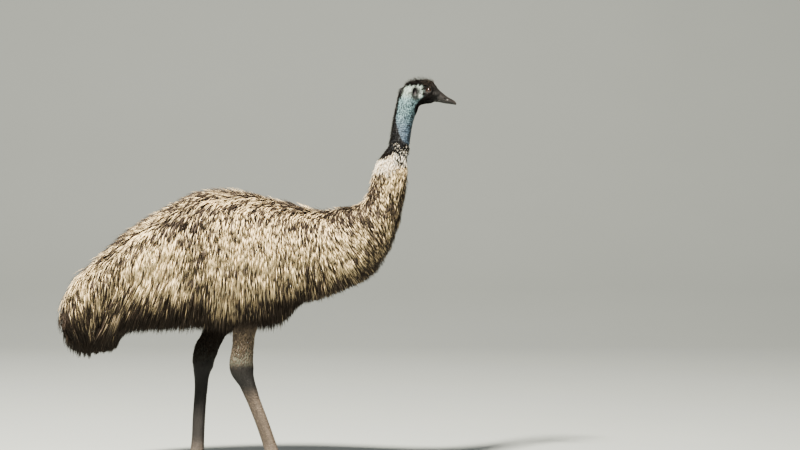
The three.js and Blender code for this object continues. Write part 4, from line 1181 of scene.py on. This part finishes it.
def skin_material():
    """Bare neck, dark face and scaly legs, from the markings painted on the skin."""
    nodes = Nodes("bird_skin", Roughness=0.62, Specular_IOR_Level=0.2)
    marks = nodes.attribute("markings", "Color")
    scaly, specked, _ = nodes.parts(nodes.attribute("kinds"))
    place = nodes.place()
    grains = nodes.noise(150.0, 3.0, place, 0.75)
    blotch = nodes.noise(90.0, 4.0, place)
    fine = nodes.noise(420.0, 3.0, place)
    # Dark specks, pale specks that are painted highlights on the skin's bumps, blotches and fine grain, each
    # by its share and its tint
    for share, tint in (
        (nodes.math("MULTIPLY", specked, nodes.ramp(grains, 0.5, 0.56, 0.0, 0.9)), (0.16, 0.17, 0.20, 1)),
        (nodes.math("MULTIPLY", specked, nodes.ramp(grains, 0.44, 0.34, 0.0, 0.8)), (2.2, 2.0, 1.9, 1)),
        (nodes.ramp(blotch, 0.35, 0.7, 0.0, 0.45), (0.55, 0.55, 0.6, 1)),
        (nodes.ramp(fine, 0.45, 0.72, 0.0, 0.35), (1.35, 1.32, 1.28, 1)),
    ):
        marks = nodes.mix(share, marks, tint, "MULTIPLY")
    cells = nodes.add("ShaderNodeTexVoronoi", {"Vector": place, "Scale": 185.0}, feature="DISTANCE_TO_EDGE")
    edge = cells.outputs["Distance"]
    plates = nodes.ramp(edge, 0.02, 0.3)
    seams = nodes.math("MULTIPLY", scaly, nodes.math("SUBTRACT", 1.0, plates))
    shade = nodes.mix(seams, marks, (0.38, 0.36, 0.34, 1), "MULTIPLY")
    raised = nodes.mix(1.0, marks, (1.4, 1.36, 1.3, 1), "MULTIPLY")
    scales = nodes.bump(nodes.math("MULTIPLY", plates, scaly), 0.0009, 0.9)
    grainy = nodes.bump(nodes.math("MULTIPLY", grains, specked), 0.0012, 0.8, scales)
    return nodes.finish(
        Base_Color=nodes.mix(nodes.math("MULTIPLY", scaly, nodes.ramp(edge, 0.25, 0.5)), shade, raised),
        Normal=nodes.bump(fine, 0.0006, 0.6, grainy),
    )


def horn_material(name, dark, light, rough):
    """Dark horn with worn streaks along it."""
    nodes = Nodes(name, Specular_IOR_Level=0.25)
    stretched = nodes.add("ShaderNodeMapping", {"Vector": nodes.place(), "Scale": (1.0, 3.0, 4.0)}).outputs[0]
    streaks = nodes.noise(160.0, 4.0, stretched)
    worn = nodes.mix(nodes.ramp(streaks, 0.4, 0.75), dark, light)
    return nodes.finish(
        Base_Color=nodes.mix(1.0, worn, nodes.attribute("markings", "Color"), "MULTIPLY"),
        Roughness=nodes.ramp(streaks, 0.3, 0.8, rough - 0.08, rough + 0.14),
        Normal=nodes.bump(streaks, 0.0004, 0.5),
    )


def eye_material():
    """A dark pupil in a red-brown iris with fine rays, under a wet surface."""
    nodes = Nodes("eye", Roughness=0.08, Specular_IOR_Level=0.3, Coat_Weight=0.4, Coat_Roughness=0.02)
    ring = nodes.attribute("ring", "Fac")
    rays = nodes.noise(700.0, 2.0, nodes.place())
    iris = nodes.mix(rays, (0.014, 0.006, 0.003, 1), (0.032, 0.013, 0.006, 1))
    iris = nodes.mix(nodes.ramp(ring, 0.62, 0.8), iris, (0.008, 0.004, 0.003, 1))
    return nodes.finish(Base_Color=nodes.mix(nodes.ramp(ring, 0.40, 0.46), (0.002, 0.002, 0.002, 1), iris))


def floor_material():
    nodes = Nodes("floor", Roughness=FLOOR["rough"])
    shade = tuple(c * 0.94 for c in FLOOR["colour"][:3]) + (1,)
    return nodes.finish(Base_Color=nodes.mix(nodes.noise(1.3, 3.0, nodes.place()), shade, FLOOR["colour"]))


# Markings of the skin
def blended(colour, other, share):
    return colour + (np.asarray(other) - colour) * share[:, None]


def leg_colours(side, points):
    z = points[:, 2]
    _, up, out, _ = leg_tubes[side].local(points, 0, 1)
    front = 1 - ramp(np.abs(np.arctan2(out, up)), 0.9, 2.1)
    # The far leg's colours carry painted shade
    paint = LEG_PAINT_WITH_FAR_SHADE[side]
    scales = (1 - ramp(z, 265, 345)) * (0.6 + 0.4 * front)
    down = ramp(z, 405, 440) * (1 - ramp(z, 565, 600)) * paint["down"]
    colour = blended(np.tile(SHANK, (len(z), 1)), paint["scales"], scales)
    colour = blended(colour, paint["foot"], (1 - ramp(z, 60, 145)) * 0.8)
    return blended(colour, LEG_DOWN, down)


def paint_skin(piece):
    points = points_of(piece)
    x, y, z = points.T
    neck = ramp(z, *BARE_NECK)
    face = in_face(points)
    ear_x, ear_z = EAR["at"]
    lip = (1 - ramp(np.abs(z - at(MOUTH_LINE, x)), 0.8, 2.2)) * (x > MOUTH_LINE[0][0]) * (z > 1300)
    hole = (1 - ramp(oval(x, z, EAR["at"], EAR["half"]), 0.75, 1.1)) * (z > 1400) * (np.abs(y) > 15)
    blue = blended(np.tile(PALE_BLUE, (len(z), 1)), DEEP_BLUE, ramp(-z, -1395, -1280))
    colour = np.tile(UNDER_COAT, (len(z), 1))
    for share, over in (
        (neck, blue),
        (ramp(z, 1412, 1448) * (1 - face) * 0.95, CRESCENT),
        # Darker round the ear, its middle a little ahead of and below the hole
        ((1 - ramp(oval(x, z, (ear_x + 3, ear_z - 6), (22, 35)), 0.55, 1.05)) * 0.97, DARK_ROUND_EAR),
        (soft_spots(x, z, EAR_SPOT["spots"]), EAR_SPOT["colour"]),
        (nape_line(points) * neck * 0.92, NAPE),
        (face, FACE),
        ((1 - ramp(oval(x, z, EYE["at"], (16, 13)), 0.8, 1.1)) * (z > 1400), LID),
        (hole, HOLE_SHADE),
        # Ear hole and mouth slit darkened: painted shade in the recesses
        (lip * 0.9, HOLE_SHADE),
    ):
        colour = blended(colour, over, share)
    for side, sign in SIDES.items():
        mine = (z < 640) & (y * sign > 0)
        colour[mine] = leg_colours(side, points[mine])
    add_attribute(piece, "markings", colour)
    scaly = (1 - ramp(z, 360, 420)) * (z < 640)
    specked = neck * (1 - face) * (1 - 0.55 * ramp(z, 1405, 1440))
    add_attribute(piece, "kinds", np.stack([scaly, specked, np.zeros(len(z))], axis=1))


# Bill, eyes and claws
def in_nostril(x, z, size=1.0):
    c, s = math.cos(NOSTRIL["slope"]), math.sin(NOSTRIL["slope"])
    dx, dz = x - NOSTRIL["at"][0], z - NOSTRIL["at"][1]
    u = (dx * c + dz * s) / (NOSTRIL["half"][0] * size)
    v = (dz * c - dx * s) / (NOSTRIL["half"][1] * size)
    return np.exp(-((u**2 + v**2) ** 2))


def bill_half(name, upper, material):
    """One half of the bill, from its cutting edge over the ridge or keel and back across the palate."""
    root = BILL_ROOT - 0.35 / (len(HEAD) - 1)
    places = np.concatenate([np.linspace(root, 0.97, 70), np.linspace(0.972, 0.9995, 14)])
    middle, _, lateral, dorsal = head_tube.frame(places)
    top, bottom, side = on_spline(head_tube.radii, places).T
    rise, sign = (top, 1) if upper else (bottom, -1)
    offset = (at(MOUTH_LINE, middle[:, 0]) - middle[:, 2]) / np.maximum(dorsal[:, 2], 0.5)
    offset = np.clip(offset, -0.7 * bottom, 0.7 * top)
    edge = np.arccos(np.clip(sign * offset / rise, -0.9, 0.9))
    angle = np.linspace(-1, 1, 47)[None] * edge[:, None]
    lift = np.cos(angle) * rise[:, None] * sign
    out = np.sin(angle) * side[:, None]
    if upper:
        ridge = np.interp(places, [root, 0.8, 1], [1.6, 0.9, 0.2])[:, None]
        groove = np.interp(places, [root, 0.6, 0.86, 1], [0.2, 1.3, 0.8, 0])[:, None]
        groove = np.exp(-(((np.abs(angle) - 0.72) / 0.2) ** 2)) * groove
        lift = lift + np.exp(-((angle / 0.28) ** 2)) * ridge - groove * 0.7
        out = out * (1 - 0.05 * groove)
    back = np.linspace(1, -1, 17)[1:-1][None]
    palate = (offset[:, None] + sign * 0.5) + sign * 1.2 * (1 - back**2)
    lift = np.concatenate([lift, palate], axis=1)
    out = np.concatenate([out, back * (np.sin(edge) * side)[:, None] * 0.97], axis=1)
    rings = middle[:, None] + dorsal[:, None] * lift[..., None] + lateral[:, None] * out[..., None]
    if upper:
        hole = in_nostril(rings[..., 0], rings[..., 2]) * (np.abs(rings[..., 1]) > 4)
        rings[..., 1] -= np.sign(rings[..., 1]) * hole * NOSTRIL["deep"]
    piece = lofted(name, rings)
    x, _, z = points_of(piece).T
    shade = 1 + 1.6 * ramp(x, 736, 749)
    if upper:
        # The nostril darkened: painted shade in its hollow
        shade = shade * (1 - 0.93 * in_nostril(x, z, 0.95))
    add_attribute(piece, "markings", np.repeat(shade[:, None], 3, axis=1))
    piece.data.materials.append(material)
    return piece


def eyeball(name, sign, material):
    u, v = np.meshgrid(np.linspace(0.01, math.pi - 0.01, 40), angles_around(48), indexing="ij")
    x, z = EYE["at"]
    r = (EYE["radius"] - 0.05) * (1 + 0.035 * np.exp(-((u / 0.5) ** 2)))
    ahead, out, up = r * np.sin(u) * np.cos(v), r * np.cos(u), r * np.sin(u) * np.sin(v)
    piece = lofted(name, np.stack([x + ahead, sign * (EYE["out"] + out), z + up], axis=-1))
    points = points_of(piece)
    away = np.hypot(points[:, 0] - x, points[:, 2] - z) / EYE["opening"][0]
    add_attribute(piece, "ring", np.where(points[:, 1] * sign > EYE["out"], away, 2.0))
    piece.data.materials.append(material)
    return piece


def claw(name, toe, root, forward, material):
    """A claw that curves down from the toe's tip, flatter below."""
    start = root + forward * (toe["length"] - 4)
    lateral = np.array([-forward[1], forward[0], 0])
    t, turn = np.meshgrid(np.linspace(0, 1, 26), angles_around(24), indexing="ij")
    width = toe["half"] * 0.5 * (np.sqrt(np.maximum(0.0, 1 - t**1.7)) * (1 - 0.25 * t) + 0.01)
    height = TOE["tip"] - 1.0 - 7.0 * t * t
    rise = np.where(np.sin(turn) > 0, 1.0, 0.62) * width * 0.9
    middle = start + forward * (t * (toe["claw"] + 3.5))[..., None]
    rings = middle + lateral * (np.cos(turn) * width)[..., None]
    rings[..., 2] = np.maximum(0.3, height + np.sin(turn) * rise)
    piece = lofted(name, rings)
    add_attribute(piece, "markings", np.ones((len(piece.data.vertices), 3)))
    piece.data.materials.append(material)
    return piece


# Stage
def look_at(thing, target):
    thing.rotation_euler = (Vector(target) - thing.location).to_track_quat("-Z", "Y").to_euler()


def add_camera():
    lens = bpy.data.cameras.new("camera")
    lens.lens = CAMERA["lens"]
    lens.sensor_width = 36
    camera = bpy.data.objects.new("camera", lens)
    camera.location = CAMERA["place"]
    look_at(camera, CAMERA["target"])
    bpy.context.collection.objects.link(camera)
    bpy.context.scene.camera = camera


def add_light(name, place, target, size, power, colour):
    light = bpy.data.lights.new(name, "AREA")
    light.size = size
    light.energy = power
    light.color = colour
    lamp = bpy.data.objects.new(name, light)
    lamp.location = place
    look_at(lamp, target)
    bpy.context.collection.objects.link(lamp)


def add_stage():
    floor_x = np.linspace(-FLOOR["half_width"], FLOOR["half_width"], 3)
    rows = np.array([[(x, y, z) for x in floor_x] for y, z in FLOOR_LINE]) / MM
    floor = new_mesh("floor", rows.reshape(-1, 3), grid_faces(len(rows), len(floor_x), closed=False))
    floor.data.materials.append(floor_material())
    floor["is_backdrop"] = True
    world = bpy.data.worlds.new("studio")
    world.use_nodes = True
    background = world.node_tree.nodes["Background"]
    background.inputs[0].default_value = SKY["colour"]
    background.inputs[1].default_value = SKY["strength"]
    bpy.context.scene.world = world
    for name, light in LIGHTS.items():
        add_light(name, **light)


# Assembly
add_camera()
feather = feather_material()
bill_horn = horn_material("bill_horn", **BILL_HORN)
claw_horn = horn_material("claw_horn", **CLAW_HORN)
eye_wet = eye_material()

legs = [leg_skin(side) for side in SIDES]
wings = [wing_limb(sign) for sign in SIDES.values()]
skin = merged("skin", [body_skin(), head_skin(), *legs, *wings])
paint_skin(skin)
skin.data.materials.clear()
skin.data.materials.append(skin_material())
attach(skin, "root")
FLESH = ["torso", "tail", "neck_lower", "neck_middle", "neck_upper", "head"]
FLESH += [f"{part}_{side}" for part in ("wing", "upper_leg", "shank", "foot") for side in SIDES]
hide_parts(*FLESH)

for piece in body_coat(feather):
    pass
for piece in head_hairs(skin, feather):
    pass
for side in SIDES:
    for piece in leg_feathers(skin, side, feather):
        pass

for name, upper in (("bill_upper", True), ("bill_lower", False)):
    half = bill_half(f"{name}_horn", upper, bill_horn)
    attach(half, "root")
    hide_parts(name)
for side, sign in SIDES.items():
    eye = eyeball(f"eyeball_{side}", sign, eye_wet)
    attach(eye, "root")
    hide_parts(f"eye_{side}")
    for toe, _, root, forward in toe_tubes(side):
        nail = claw(f"nail_{side}_{toe['name']}", toe, root, forward, claw_horn)
        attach(nail, "root")
        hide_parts(f"claw_{side}_{toe['name']}")
add_stage()

boxes = {"cad": CAD_BOX, "visual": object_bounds()}
{name: [[float(v) for v in corner] for corner in box] for name, box in boxes.items()}
